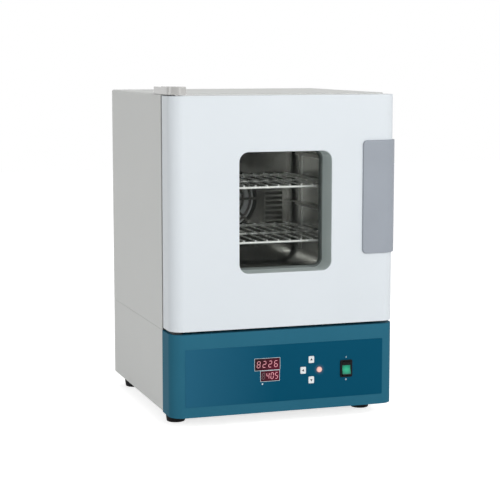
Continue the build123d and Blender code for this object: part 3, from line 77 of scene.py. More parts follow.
class Way(Enum):
    """Direction in which an outline is drawn out into a solid, or of a turned solid's axis."""

    Y = "y"
    Z = "z"

    def place(self, first: float, second: float, along: float) -> Vector:
        """Point of the row frame.

        Args:
            first: The outline's first coordinate.
            second: The outline's second coordinate.
            along: Place along this direction.

        Returns:
            The point.
        """
        if self is Way.Y:
            return Vector((first, along, second))
        return Vector((first, second, along))


def arc(centre: Point, radius: float, start: float, end: float, steps: int) -> list[Point]:
    """Points on a circle's arc.

    Args:
        centre: Centre of the circle.
        radius: Its radius.
        start: First angle in degrees.
        end: Last angle in degrees.
        steps: How many spans the arc has.

    Returns:
        The points, both ends included.
    """
    angles = [radians(start + (end - start) * step / steps) for step in range(steps + 1)]
    return [(centre[0] + radius * cos(a), centre[1] + radius * sin(a)) for a in angles]


def round_box(
    centre: Point, width: float, height: float, radius: float, steps: int = 12
) -> list[Point]:
    """Outline of a rectangle with round corners.

    Args:
        centre: Its middle.
        width: Full size along the first coordinate.
        height: Full size along the second coordinate.
        radius: Corner radius.
        steps: Spans in each corner.

    Returns:
        The closed outline, counter-clockwise.
    """
    points: list[Point] = []
    for turn, (side, rise) in enumerate(((1, -1), (1, 1), (-1, 1), (-1, -1))):
        corner = (
            centre[0] + side * (width / 2 - radius),
            centre[1] + rise * (height / 2 - radius),
        )
        points += arc(corner, radius, 90 * turn - 90, 90 * turn, steps)
    return points


def bow(width: float, rear: float, front: float, radius: float, steps: int) -> list[Point]:
    """Path round three sides of a plan whose two front corners are round.

    Args:
        width: Full width.
        rear: Where both ends of the path stand.
        front: The plan's front face.
        radius: Radius of the front corners.
        steps: Spans in each corner.

    Returns:
        The path from the left rear to the right rear.
    """
    half = width / 2
    return [
        (-half, rear),
        *arc((-half + radius, front + radius), radius, 180, 270, steps),
        *arc((half - radius, front + radius), radius, 270, 360, steps),
        (half, rear),
    ]


def add_object(name: str, data: bpy.types.ID) -> bpy.types.Object:
    """Adds an object to the scene.

    Args:
        name: Name of the object.
        data: Its mesh, lamp or camera.

    Returns:
        The object.
    """
    added = bpy.data.objects.new(name, data)
    bpy.context.scene.collection.objects.link(added)
    return added


def mesh_object(name: str, bm: bmesh.types.BMesh) -> bpy.types.Object:
    """Object made from an edited mesh as it is.

    Args:
        name: Name of the piece.
        bm: Its mesh, freed here.

    Returns:
        The object, in the scene.
    """
    mesh = bpy.data.meshes.new(name)
    bm.to_mesh(mesh)
    bm.free()
    return add_object(name, mesh)


def solid(name: str, bm: bmesh.types.BMesh) -> bpy.types.Object:
    """Object made from faces that close up, with their normals turned outwards.

    Args:
        name: Name of the piece.
        bm: Its mesh, freed here.

    Returns:
        The object, in the scene.
    """
    bmesh.ops.remove_doubles(bm, verts=bm.verts[:], dist=1e-7)
    bmesh.ops.recalc_face_normals(bm, faces=bm.faces[:])
    return mesh_object(name, bm)


def prism(
    name: str, outline: Sequence[Point], way: Way, start: float, end: float
) -> bpy.types.Object:
    """Solid drawn out from a closed outline.

    Args:
        name: Name of the piece.
        outline: Closed outline.
        way: Direction it is drawn in.
        start: Where it begins.
        end: Where it ends.

    Returns:
        The solid.
    """
    bm = bmesh.new()
    rings = [[bm.verts.new(way.place(a, b, along)) for a, b in outline] for along in (start, end)]
    for here in range(len(outline)):
        there = (here + 1) % len(outline)
        bm.faces.new((rings[0][here], rings[0][there], rings[1][there], rings[1][here]))
    for ring in rings:
        bm.faces.new(ring)
    return solid(name, bm)


def band(
    name: str,
    outer: Sequence[Point],
    inner: Sequence[Point],
    way: Way,
    start: float,
    end: float,
    closed: bool,
) -> bpy.types.Object:
    """Solid between two paths that run side by side, drawn out.

    Args:
        name: Name of the piece.
        outer: Outer path.
        inner: Inner path, with as many points.
        way: Direction it is drawn in.
        start: Where it begins.
        end: Where it ends.
        closed: True for a ring, False for a strip with two ends.

    Returns:
        The solid, in four-sided faces.
    """
    bm = bmesh.new()
    corners = [
        [bm.verts.new(way.place(a, b, along)) for a, b in path]
        for path, along in ((outer, start), (outer, end), (inner, end), (inner, start))
    ]
    count = len(outer)
    for here in range(count if closed else count - 1):
        there = (here + 1) % count
        for side in range(4):
            near, far = corners[side], corners[(side + 1) % 4]
            bm.faces.new((near[here], near[there], far[there], far[here]))
    if not closed:
        for tip in (0, count - 1):
            bm.faces.new([path[tip] for path in corners])
    return solid(name, bm)


def lathe(
    name: str, profile: Sequence[Point], foot: Vector, axis: Way, steps: int
) -> bpy.types.Object:
    """Solid turned from a profile.

    Args:
        name: Name of the piece.
        profile: Closed loop of radius and place along the axis, clear of the axis.
        foot: Point that the axis goes through.
        axis: Direction of the axis.
        steps: Spans round the axis.

    Returns:
        The solid.
    """
    bm = bmesh.new()
    rings = []
    for step in range(steps):
        angle = 2 * pi * step / steps
        places = [axis.place(r * cos(angle), r * sin(angle), along) for r, along in profile]
        rings.append([bm.verts.new(foot + place) for place in places])
    for step in range(steps):
        here, there = rings[step], rings[(step + 1) % steps]
        for point in range(len(profile)):
            after = (point + 1) % len(profile)
            bm.faces.new((here[point], here[after], there[after], there[point]))
    return solid(name, bm)


def rod(name: str, path: Sequence[Vector], radius: float, looped: bool = False) -> bpy.types.Object:
    """Round rod along a path.

    Args:
        name: Name of the piece.
        path: Points of its centreline.
        radius: Radius of the rod.
        looped: True if it closes on itself.

    Returns:
        The rod as a mesh.
    """
    curve = bpy.data.curves.new(name, "CURVE")
    curve.dimensions = "3D"
    curve.bevel_depth = radius
    curve.bevel_resolution = 4
    curve.use_fill_caps = True
    spline = curve.splines.new("POLY")
    spline.points.add(len(path) - 1)
    for point, place in zip(spline.points, path):
        point.co = (*place, 1)
    spline.use_cyclic_u = looped
    holder = bpy.data.objects.new(name, curve)
    mesh = bpy.data.meshes.new_from_object(holder)
    bpy.data.objects.remove(holder)
    return add_object(name, mesh)


def merge(name: str, pieces: Iterable[bpy.types.Object]) -> bpy.types.Object:
    """Several meshes as one piece.

    Args:
        name: Name of the result.
        pieces: Meshes to take in; they are removed.

    Returns:
        The one piece.
    """
    bm = bmesh.new()
    for piece in pieces:
        bm.from_mesh(piece.data)
        bpy.data.objects.remove(piece)
    return mesh_object(name, bm)


def carve(piece: bpy.types.Object, tools: Iterable[bpy.types.Object]) -> None:
    """Cuts solids out of a piece.

    Args:
        piece: The piece to change.
        tools: Solids to cut with; they are removed.
    """
    for tool in tools:
        step = piece.modifiers.new("cut", "BOOLEAN")
        step.operation = "DIFFERENCE"
        step.solver = "EXACT"
        step.object = tool
        shape = piece.evaluated_get(bpy.context.evaluated_depsgraph_get())
        mesh = bpy.data.meshes.new_from_object(shape)
        piece.modifiers.clear()
        piece.data = mesh
        bpy.data.objects.remove(tool)


def soften(
    piece: bpy.types.Object,
    width: float,
    choose: Callable[[Vector], bool] = lambda place: True,
    segments: int = 3,
    sharper_than: float = 40.0,
) -> None:
    """Rounds a piece's sharp edges.

    Args:
        piece: The piece to change.
        width: Size of the rounding.
        choose: Says of an edge's middle whether it is rounded.
        segments: Spans across the rounding.
        sharper_than: Least angle in degrees between an edge's faces.
    """
    bm = bmesh.new()
    bm.from_mesh(piece.data)
    bmesh.ops.remove_doubles(bm, verts=bm.verts[:], dist=2e-6)
    edges = [
        edge
        for edge in bm.edges
        if len(edge.link_faces) == 2
        and edge.calc_face_angle(0) > radians(sharper_than)
        and choose((edge.verts[0].co + edge.verts[1].co) / 2)
    ]
    bmesh.ops.bevel(
        bm,
        geom=edges,
        offset=width,
        segments=segments,
        profile=0.5,
        affect="EDGES",
        clamp_overlap=True,
    )
    bm.to_mesh(piece.data)
    bm.free()


def polish(piece: bpy.types.Object, crease: float = 38.0) -> bpy.types.Object:
    """Shades a piece smoothly between its creases.

    Args:
        piece: The piece to shade.
        crease: Angle in degrees from which an edge stays sharp.

    Returns:
        The same piece.
    """
    bm = bmesh.new()
    bm.from_mesh(piece.data)
    for face in bm.faces:
        face.smooth = True
    for edge in bm.edges:
        edge.smooth = len(edge.link_faces) == 2 and edge.calc_face_angle(0) < radians(crease)
    bm.to_mesh(piece.data)
    bm.free()
    normals = piece.modifiers.new("even_normals", "WEIGHTED_NORMAL")
    normals.keep_sharp = True
    normals.weight = 100
    return piece


def dim(colour: Colour, share: float) -> Colour:
    """A colour at a share of its brightness."""
    return tuple(share * c for c in colour)


class Value:
    """A shader socket that takes part in plain arithmetic."""

    def __init__(self, tree: "Tree", socket: bpy.types.NodeSocket) -> None:
        """Keeps the socket and the tree it is in."""
        self.tree = tree
        self.socket = socket

    def _with(self, operation: str, first: "Value | float", second: "Value | float") -> "Value":
        """Math node of two values."""
        return self.tree.node("ShaderNodeMath", {"operation": operation}, {0: first, 1: second})

    def __add__(self, other: "Value | float") -> "Value":
        """Sum."""
        return self._with("ADD", self, other)

    def __radd__(self, other: "Value | float") -> "Value":
        """Sum, reflected."""
        return self._with("ADD", other, self)

    def __sub__(self, other: "Value | float") -> "Value":
        """Difference."""
        return self._with("SUBTRACT", self, other)

    def __rsub__(self, other: "Value | float") -> "Value":
        """Difference, reflected."""
        return self._with("SUBTRACT", other, self)

    def __mul__(self, other: "Value | float") -> "Value":
        """Product."""
        return self._with("MULTIPLY", self, other)

    def __rmul__(self, other: "Value | float") -> "Value":
        """Product, reflected."""
        return self._with("MULTIPLY", other, self)

    def __truediv__(self, other: "Value | float") -> "Value":
        """Quotient."""
        return self._with("DIVIDE", self, other)

    def __rtruediv__(self, other: "Value | float") -> "Value":
        """Quotient, reflected."""
        return self._with("DIVIDE", other, self)

    def __pow__(self, other: "Value | float") -> "Value":
        """Power."""
        return self._with("POWER", self, other)

    def __rpow__(self, other: "Value | float") -> "Value":
        """Power, reflected."""
        return self._with("POWER", other, self)

    def least(self, other: "Value | float") -> "Value":
        """The smaller of two values."""
        return self._with("MINIMUM", self, other)

    def most(self, other: "Value | float") -> "Value":
        """The larger of two values."""
        return self._with("MAXIMUM", self, other)


class Tree:
    """Adds nodes to a shader tree."""

    def __init__(self, nodes: bpy.types.NodeTree) -> None:
        """Clears the tree."""
        self.nodes = nodes
        self.nodes.nodes.clear()

    def node(
        self,
        kind: str,
        settings: dict[str, object] | None = None,
        sockets: dict[str | int, Value | float | tuple] | None = None,
        output: str | int | None = 0,
    ) -> Value | None:
        """Adds one node.

        Args:
            kind: Type of the node.
            settings: Its own settings, set first; stops are a ramp's places and colours.
            sockets: Values or links of its inputs.
            output: The output that is used, or None for a node that has none.

        Returns:
            That output.
        """
        node = self.nodes.nodes.new(kind)
        for key, setting in (settings or {}).items():
            if key == "stops":
                ramp = node.color_ramp.elements
                while len(ramp) < len(setting):
                    ramp.new(0.5)
                for element, (place, colour) in zip(ramp, setting):
                    element.position = place
                    element.color = (*colour, 1)
            else:
                setattr(node, key, setting)
        for key, value in (sockets or {}).items():
            if isinstance(value, Value):
                self.nodes.links.new(value.socket, node.inputs[key])
            else:
                node.inputs[key].default_value = value
        return None if output is None else Value(self, node.outputs[output])

    def places(self) -> Value:
        """Object coordinates of the surface."""
        return self.node("ShaderNodeTexCoord", output="Object")

    def axis(self, letter: str) -> Value:
        """One object coordinate of the surface, by its letter."""
        return self.node("ShaderNodeSeparateXYZ", {}, {"Vector": self.places()}, output=letter)

    def distance(self, point: Place) -> Value:
        """Distance of the surface from a point, in metres."""
        ends = {0: self.places(), 1: point}
        return self.node("ShaderNodeVectorMath", {"operation": "DISTANCE"}, ends, output=1)

    def shown(self) -> Value:
        """Tells the rays that see the background.

        Returns:
            1 for camera, glossy and transmission rays, 0 for the light on the object.
        """
        seen = self.node("ShaderNodeLightPath", output="Is Camera Ray")
        mirrored = self.node("ShaderNodeLightPath", output="Is Glossy Ray")
        passed = self.node("ShaderNodeLightPath", output="Is Transmission Ray")
        return seen.most(mirrored).most(passed)

    def noise(self, scale: float, detail: float, stretch: Place = (1, 1, 1)) -> Value:
        """Soft noise from 0 to 1 over the surface.

        Args:
            scale: Features per metre.
            detail: Octaves.
            stretch: Scale along each axis, to draw the noise out.

        Returns:
            The noise value.
        """
        factors = {0: self.places(), 1: tuple(scale * s for s in stretch)}
        spread = self.node("ShaderNodeVectorMath", {"operation": "MULTIPLY"}, factors)
        return self.node(
            "ShaderNodeTexNoise", {}, {"Vector": spread, "Scale": 1.0, "Detail": detail}
        )

    def blend(self, share: Value | float, first: Value | Colour, second: Value | Colour) -> Value:
        """Colour between two others.

        Args:
            share: 0 for the first colour, 1 for the second.
            first: First colour.
            second: Second colour.

        Returns:
            The mixed colour.
        """
        pair = [c if isinstance(c, Value) else (*c, 1.0) for c in (first, second)]
        sockets = {0: share, 6: pair[0], 7: pair[1]}
        return self.node("ShaderNodeMix", {"data_type": "RGBA"}, sockets, output=2)

    def bump(self, height: Value, depth: float, strength: float) -> Value:
        """Normal of a surface with small relief.

        Args:
            height: Relief from 0 to 1.
            depth: Its full height in metres.
            strength: How strongly it shows.

        Returns:
            The normal.
        """
        sockets = {"Strength": strength, "Distance": depth, "Height": height}
        return self.node("ShaderNodeBump", {}, sockets)


def new_material(name: str, surface: Callable[[Tree], Value]) -> bpy.types.Material:
    """Makes a material.

    Args:
        name: Name of the material.
        surface: Adds the shader's nodes and gives their output.

    Returns:
        The material.
    """
    made = bpy.data.materials.new(name)
    made.use_nodes = True
    tree = Tree(made.node_tree)
    tree.node("ShaderNodeOutputMaterial", {}, {"Surface": surface(tree)}, output=None)
    return made


@dataclass(frozen=True)
class Finish:
    """A finish with one base colour and a roughness."""

    name: str
    colour: Colour
    roughness: float

    def shade(self, tree: Tree) -> Sockets:
        """Sockets of the surface shader.

        Args:
            tree: The material's nodes.

        Returns:
            Socket names with their values or links.
        """
        return {"Base Color": (*self.colour, 1), "Roughness": self.roughness}

    def surface(self, tree: Tree) -> Value:
        """The surface shader on its sockets."""
        return tree.node("ShaderNodeBsdfPrincipled", {}, self.shade(tree))

    def material(self) -> bpy.types.Material:
        """The finish as a material, made once."""
        name = f"{self.name}_finish"
        return bpy.data.materials.get(name) or new_material(name, self.surface)


@dataclass(frozen=True)
class Painted(Finish):
    """Powder coat on sheet metal: fine orange peel and a little cloudiness."""

    cloud: float = 7.0
    peel: float = 900.0
    depth: float = 0.03 * MM
    coat: float = 0.0
    shine: float = 0.5

    def shade(self, tree: Tree) -> Sockets:
        """Sockets of the surface shader.

        Args:
            tree: The material's nodes.

        Returns:
            Socket names with their values or links.
        """
        cloud = tree.noise(self.cloud, 4.0)
        speck = tree.noise(self.peel, 2.0)
        return {
            "Base Color": tree.blend(cloud, dim(self.colour, 0.955), self.colour),
            "Roughness": self.roughness + 0.1 * (cloud - 0.5) + 0.05 * (speck - 0.5),
            "Normal": tree.bump(speck, self.depth, 0.35),
            "Specular IOR Level": self.shine,
            "Coat Weight": self.coat,
            "Coat Roughness": 0.12,
        }


@dataclass(frozen=True)
class Moulded(Finish):
    """Moulded plastic with a spark-eroded grain."""

    cloud: float = 11.0
    grain: float = 1400.0
    depth: float = 0.04 * MM
    shine: float = 0.3
    rubbed: Colour | None = None

    def shade(self, tree: Tree) -> Sockets:
        """Sockets of the surface shader.

        Args:
            tree: The material's nodes.

        Returns:
            Socket names with their values or links.
        """
        cloud = tree.noise(self.cloud, 4.0)
        grain = tree.noise(self.grain, 3.0)
        other = self.rubbed or dim(self.colour, 0.9)
        return {
            "Base Color": tree.blend((cloud - 0.35) * 1.6, other, self.colour),
            "Roughness": self.roughness + 0.12 * (cloud - 0.5) + 0.08 * (grain - 0.5),
            "Specular IOR Level": self.shine,
            "Normal": tree.bump(grain, self.depth, 0.4),
        }


@dataclass(frozen=True)
class Brushed(Finish):
    """Stainless sheet brushed along one axis, with faint smears."""

    lines: Place = (1.0, 12.0, 40.0)
    scale: float = 40.0
    patch: float = 9.0
    depth: float = 0.015 * MM
    smear: float = 0.12
    metal: float = 1.0

    def shade(self, tree: Tree) -> Sockets:
        """Sockets of the surface shader.

        Args:
            tree: The material's nodes.

        Returns:
            Socket names with their values or links.
        """
        line = tree.noise(self.scale, 4.0, self.lines)
        patch = tree.noise(self.patch, 3.0)
        return {
            "Base Color": tree.blend(0.6 * line + 0.4 * patch, dim(self.colour, 0.8), self.colour),
            "Metallic": self.metal,
            "Roughness": self.roughness + self.smear * (patch - 0.5) + 0.12 * (line - 0.5),
            "Normal": tree.bump(line, self.depth, 0.3),
        }


@dataclass(frozen=True)
class Plated(Finish):
    """Zinc, chrome or blackened plate with fine scratches."""

    patch: float = 60.0
    scratch: float = 700.0
    depth: float = 0.01 * MM
    metal: float = 1.0

    def shade(self, tree: Tree) -> Sockets:
        """Sockets of the surface shader.

        Args:
            tree: The material's nodes.

        Returns:
            Socket names with their values or links.
        """
        patch = tree.noise(self.patch, 4.0)
        return {
            "Base Color": tree.blend(patch, dim(self.colour, 0.72), self.colour),
            "Metallic": self.metal,
            "Roughness": self.roughness + 0.16 * (patch - 0.5),
            "Normal": tree.bump(tree.noise(self.scratch, 2.0), self.depth, 0.25),
        }


@dataclass(frozen=True)
class Cast(Finish):
    """Cast alloy with a sandy skin."""

    sand: float = 420.0
    depth: float = 0.12 * MM

    def shade(self, tree: Tree) -> Sockets:
        """Sockets of the surface shader.

        Args:
            tree: The material's nodes.

        Returns:
            Socket names with their values or links.
        """
        sand = tree.noise(self.sand, 5.0)
        return {
            "Base Color": tree.blend(sand, dim(self.colour, 0.7), self.colour),
            "Metallic": 0.85,
            "Roughness": self.roughness + 0.2 * (sand - 0.5),
            "Normal": tree.bump(sand, self.depth, 0.5),
        }


@dataclass(frozen=True)
class Rubber(Finish):
    """Rubber or silicone with a faint bloom."""

    bloom: float = 30.0
    grain: float = 900.0
    depth: float = 0.03 * MM
    dust: float = 0.008

    def shade(self, tree: Tree) -> Sockets:
        """Sockets of the surface shader.

        Args:
            tree: The material's nodes.

        Returns:
            Socket names with their values or links.
        """
        bloom = tree.noise(self.bloom, 5.0)
        dusty = tuple(c + self.dust for c in self.colour)
        return {
            "Base Color": tree.blend((bloom - 0.4) * 2.0, self.colour, dusty),
            "Roughness": self.roughness + 0.15 * (bloom - 0.5),
            "Specular IOR Level": 0.12,
            "Normal": tree.bump(tree.noise(self.grain, 2.0), self.depth, 0.35),
        }


@dataclass(frozen=True)
class Wool(Finish):
    """Mineral wool with a fibrous face."""

    fibre: float = 55.0
    draw: Place = (1.0, 6.0, 2.5)
    depth: float = 1.5 * MM

    def shade(self, tree: Tree) -> Sockets:
        """Sockets of the surface shader.

        Args:
            tree: The material's nodes.

        Returns:
            Socket names with their values or links.
        """
        fibre = tree.noise(self.fibre, 8.0, self.draw)
        return {
            "Base Color": tree.blend(fibre, dim(self.colour, 0.6), self.colour),
            "Roughness": self.roughness,
            "Normal": tree.bump(fibre, self.depth, 0.8),
        }


@dataclass(frozen=True)
class Circuit(Finish):
    """Solder mask over copper tracks, which show as paler patches."""

    track: float = 160.0
    draw: Place = (1.0, 0.2, 1.0)
    depth: float = 0.05 * MM

    def shade(self, tree: Tree) -> Sockets:
        """Sockets of the surface shader.

        Args:
            tree: The material's nodes.

        Returns:
            Socket names with their values or links.
        """
        track = tree.noise(self.track, 1.0, self.draw)
        copper = tuple(1.6 * c + 0.01 for c in self.colour)
        return {
            "Base Color": tree.blend((track - 0.48) * 12.0, self.colour, copper),
            "Roughness": self.roughness,
            "Normal": tree.bump(track, self.depth, 0.4),
        }


@dataclass(frozen=True)
class Lit(Finish):
    """Plastic lit from behind: brighter at its middle than at its rim."""

    glow: Colour = (1.0, 1.0, 1.0)
    strength: float = 1.0
    centre: Place = (0.0, 0.0, 0.0)
    reach: float = 10 * MM
    grain: float = 500.0

    def shade(self, tree: Tree) -> Sockets:
        """Sockets of the surface shader.

        Args:
            tree: The material's nodes.

        Returns:
            Socket names with their values or links.
        """
        share = (1.0 - tree.distance(self.centre) / self.reach).most(0.0) ** 0.7
        grain = tree.noise(self.grain, 2.0)
        return {
            "Base Color": tree.blend(grain, dim(self.colour, 0.9), self.colour),
            "Roughness": self.roughness + 0.08 * (grain - 0.5),
            "Specular IOR Level": 0.12,
            "Emission Color": tree.blend(share, dim(self.glow, 0.16), self.glow),
            "Emission Strength": self.strength,
        }


@dataclass(frozen=True)
class Lens(Lit):
    """Lit lens in a rocker whose two ends are painted near black and unlit, as painted shade at the
    rocker's ends.
    """

    half_height: float = 8 * MM
    blur: float = 0.8 * MM
    # Near black of the rocker's two ends: painted shade
    ends: Colour = (0.003, 0.003, 0.004)

    def shade(self, tree: Tree) -> Sockets:
        """Sockets of the surface shader.

        Args:
            tree: The material's nodes.

        Returns:
            Socket names with their values or links.
        """
        sockets = super().shade(tree)
        rise = tree.axis("Z") - self.centre[2]
        inside = ((self.half_height - rise.most(0.0 - rise)) / self.blur).most(0.0).least(1.0)
        # Beyond half_height the lens turns near black and stops glowing: painted shade at both ends
        for socket, dark in (("Base Color", self.ends), ("Emission Color", (0.0, 0.0, 0.0))):
            sockets[socket] = tree.blend(inside, dark, sockets[socket])
        return sockets


@dataclass(frozen=True)
class PrintedFilm(Finish):
    """Satin film on the panel: deep colour, a paler left part, a warm halo of painted light round
    the lit key.
    """

    pale: Colour = (0.017, 0.112, 0.19)
    left: float = -0.19
    span: float = 0.17
    halo: Colour = (0.5, 0.28, 0.25)
    strength: float = 0.45
    lamp: Place = (0.0, 0.0, 0.0)
    reach: float = 12 * MM
    grain: float = 1600.0
    depth: float = 0.01 * MM

    def shade(self, tree: Tree) -> Sockets:
        """Sockets of the surface shader.

        Args:
            tree: The material's nodes.

        Returns:
            Socket names with their values or links.
        """
        fade = (1.0 - (tree.axis("X") - self.left) / self.span).most(0.0).least(1.0)
        grain = tree.noise(self.grain, 2.0)
        # Painted glow on the film round the lit key, fading to nothing at reach
        light = (1.0 - tree.distance(self.lamp) / self.reach).most(0.0) ** 2.0
        return {
            "Base Color": tree.blend(fade, self.colour, self.pale),
            "Roughness": self.roughness + 0.06 * (grain - 0.5),
            "Specular IOR Level": 0.05,
            "Normal": tree.bump(grain, self.depth, 0.3),
            "Emission Color": tree.blend(light, (0.0, 0.0, 0.0), self.halo),
            "Emission Strength": self.strength,
        }


@dataclass(frozen=True)
class Pane(Finish):
    """Clear glass: see-through, with a thin reflection that grows at a glancing angle."""

    smudge: float = 14.0
    gloss: Colour = (0.04, 0.05, 0.05)

    def surface(self, tree: Tree) -> Value:
        """Clear and glossy shaders, mixed by the angle of view.

        Args:
            tree: The material's nodes.

        Returns:
            The mixed shader.
        """
        smudge = tree.noise(self.smudge, 4.0)
        clear = tree.node("ShaderNodeBsdfTransparent", {}, {"Color": (*self.colour, 1)})
        sockets = {
            "Base Color": (*self.gloss, 1),
            "Roughness": self.roughness + 0.05 * smudge,
            "Specular IOR Level": 1.0,
        }
        gloss = tree.node("ShaderNodeBsdfPrincipled", {}, sockets)
        edge = tree.node("ShaderNodeFresnel", {}, {"IOR": 1.45})
        share = edge * 0.3 + 0.004 * smudge
        return tree.node("ShaderNodeMixShader", {}, {0: share, 1: clear, 2: gloss})


# Points on the panel where its lit pieces are brightest; FILM_LIGHT centres the painted glow on the
# film
DISPLAY_LIGHT: Place = (-0.015, -0.2445, 0.1)
DIGITS_LIGHT: Place = (-0.03, -0.2445, 0.104)
BLANK_LIGHT: Place = (-0.045, -0.2445, 0.094)
LAMP_LIGHT: Place = (-0.0457, -0.2447, 0.0792)
KEY_LIGHT: Place = (0.067, -0.246, 0.0998)
FILM_LIGHT: Place = (0.067, -0.2447, 0.0998)
ROCKER_LIGHT: Place = (0.1212, -0.2465, 0.0965)
# Directions of the brushed lines: across the oven, and from its front to its back
ACROSS: Place = (1.0, 30.0, 40.0)
INWARDS: Place = (30.0, 1.0, 30.0)


class Shade(Enum):
    """Every finish on the oven."""

    DOOR_PAINT = Painted("door_paint", (0.725, 0.77, 0.805), 0.36, shine=0.15)
    CABINET_PAINT = Painted(
        "cabinet_paint", (0.69, 0.70, 0.685), 0.5, peel=700.0, depth=0.05 * MM, shine=0.08
    )
    INNER_PAINT = Painted("inner_paint", (0.45, 0.46, 0.47), 0.5)
    TEAL_SHELL = Moulded(
        "teal_shell", (0.023, 0.13, 0.198), 0.42, rubbed=(0.027, 0.14, 0.212), shine=0.01
    )
    GREY_GRIP = Moulded("grey_grip", (0.335, 0.365, 0.41), 0.48)
    SILVER_CAP = Painted("silver_cap", (0.44, 0.435, 0.42), 0.2, coat=0.7, shine=0.8)
    PALE_CAP = Moulded("pale_cap", (0.62, 0.65, 0.66), 0.45)
    BLACK_PLASTIC = Moulded("black_plastic", (0.004, 0.004, 0.005), 0.4, shine=0.12)
    RELAY_BLACK = Moulded("relay_black", (0.02, 0.02, 0.022), 0.5)
    WHITE_KEY = Moulded("white_key", (0.82, 0.84, 0.85), 0.35, depth=0.01 * MM)
    WHITE_INK = Moulded("white_ink", (0.84, 0.93, 0.96), 0.5, depth=0.005 * MM)
    BLACK_INK = Moulded("black_ink", (0.02, 0.02, 0.025), 0.5, depth=0.005 * MM)
    STEEL_FRAME = Brushed("steel_frame", (0.60, 0.61, 0.60), 0.34, lines=ACROSS)
    STEEL_LINER = Brushed("steel_liner", (0.68, 0.69, 0.67), 0.22, lines=INWARDS, metal=0.8)
    # Same brushed stainless as the liner, but darker: painted shade at the back of the chamber
    STEEL_DUCT = Brushed("steel_duct", (0.31, 0.305, 0.29), 0.24, lines=(1.0, 30.0, 45.0))
    REVEAL_GREY = Painted("reveal_grey", (0.70, 0.78, 0.765), 0.35, coat=0.2)
    RAIL_STEEL = Brushed("rail_steel", (0.52, 0.52, 0.51), 0.3, lines=INWARDS)
    ZINC = Plated("zinc_plate", (0.55, 0.57, 0.60), 0.38)
    SCREW_PLATE = Plated("screw_plate", (0.50, 0.52, 0.54), 0.3)
    BLACKENED = Plated("blackened_plate", (0.03, 0.032, 0.035), 0.4, metal=0.4)
    CHROME_WIRE = Plated("chrome_wire", (1.0, 1.0, 0.99), 0.26, metal=0.3)
    GROUND_STEEL = Plated("ground_steel", (0.6, 0.6, 0.6), 0.2)
    HEATER_SHEATH = Plated("heater_sheath", (0.25, 0.22, 0.20), 0.45)
    BEARING = Plated("bearing_bronze", (0.52, 0.36, 0.18), 0.4)
    ALLOY = Cast("cast_alloy", (0.5, 0.51, 0.52), 0.5)
    MAGNET = Rubber("magnet_block", (0.02, 0.02, 0.022), 0.6)
    FOOT_RUBBER = Rubber("foot_rubber", (0.006, 0.006, 0.007), 0.62)
    DARK_SEAL = Rubber("dark_seal", (0.16, 0.18, 0.175), 0.55)
    PALE_SEAL = Rubber("pale_seal", (0.36, 0.36, 0.35), 0.6)
    WOOL = Wool("mineral_wool", (0.62, 0.53, 0.30), 0.95)
    BOARD = Circuit("board_green", (0.01, 0.06, 0.03), 0.4)
    GLASS = Pane("clear_glass", (0.985, 0.99, 0.985), 0.02)
    TEAL_FILM = PrintedFilm("teal_film", (0.0005, 0.07, 0.13), 0.42, lamp=FILM_LIGHT)
    DISPLAY = Lit(
        "display_window",
        (0.006, 0.001, 0.002),
        0.3,
        glow=(0.16, 0.006, 0.03),
        strength=0.6,
        centre=DISPLAY_LIGHT,
        reach=42 * MM,
    )
    LIT_BARS = Lit(
        "lit_bars",
        (0.35, 0.16, 0.18),
        0.4,
        glow=(1.0, 0.42, 0.48),
        strength=0.8,
        centre=DIGITS_LIGHT,
        reach=70 * MM,
    )
    DARK_BARS = Lit(
        "dark_bars",
        (0.15, 0.14, 0.14),
        0.5,
        glow=(0.12, 0.03, 0.05),
        strength=0.3,
        centre=BLANK_LIGHT,
        reach=30 * MM,
    )
    LAMP = Lit(
        "lamp_lens",
        (0.7, 0.75, 0.75),
        0.3,
        glow=(0.7, 0.8, 0.85),
        strength=0.35,
        centre=LAMP_LIGHT,
        reach=3 * MM,
    )
    SET_KEY = Lit(
        "set_key",
        (0.62, 0.36, 0.32),
        0.35,
        glow=(1.0, 0.58, 0.5),
        strength=0.55,
        centre=KEY_LIGHT,
        reach=7 * MM,
    )
    # Green lit rocker, its two ends painted dark as painted shade
    ROCKER = Lens(
        "rocker_green",
        (0.02, 0.16, 0.11),
        0.4,
        glow=(0.012, 0.42, 0.2),
        strength=0.75,
        centre=ROCKER_LIGHT,
        reach=9 * MM,
        half_height=8.6 * MM,
    )


def paint(finish: Shade, *nodes: str) -> None:
    """Gives CAD nodes a finish where they are.

    Args:
        finish: The finish.
        nodes: Names of the nodes.
    """
    for node in nodes:
        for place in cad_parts[node].material_slots:
            place.material = finish.value.material()
        log.info("%s is finished in %s", node, finish.value.name)


def dress(piece: bpy.types.Object, finish: Shade, body: str, slot: str, *nodes: str) -> None:
    """Finishes a piece, fixes it to a body and hides the CAD nodes it stands for.

    Args:
        piece: The piece, in place.
        finish: Its finish.
        body: Body that it moves with.
        slot: Material slot of the record; not used.
        nodes: CAD nodes that it replaces.
    """
    piece.data.materials.clear()
    piece.data.materials.append(finish.value.material())
    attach(piece, body)
    if nodes:
        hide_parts(*nodes)
    log.info("%s rides on %s in %s", piece.name, body, finish.value.name)


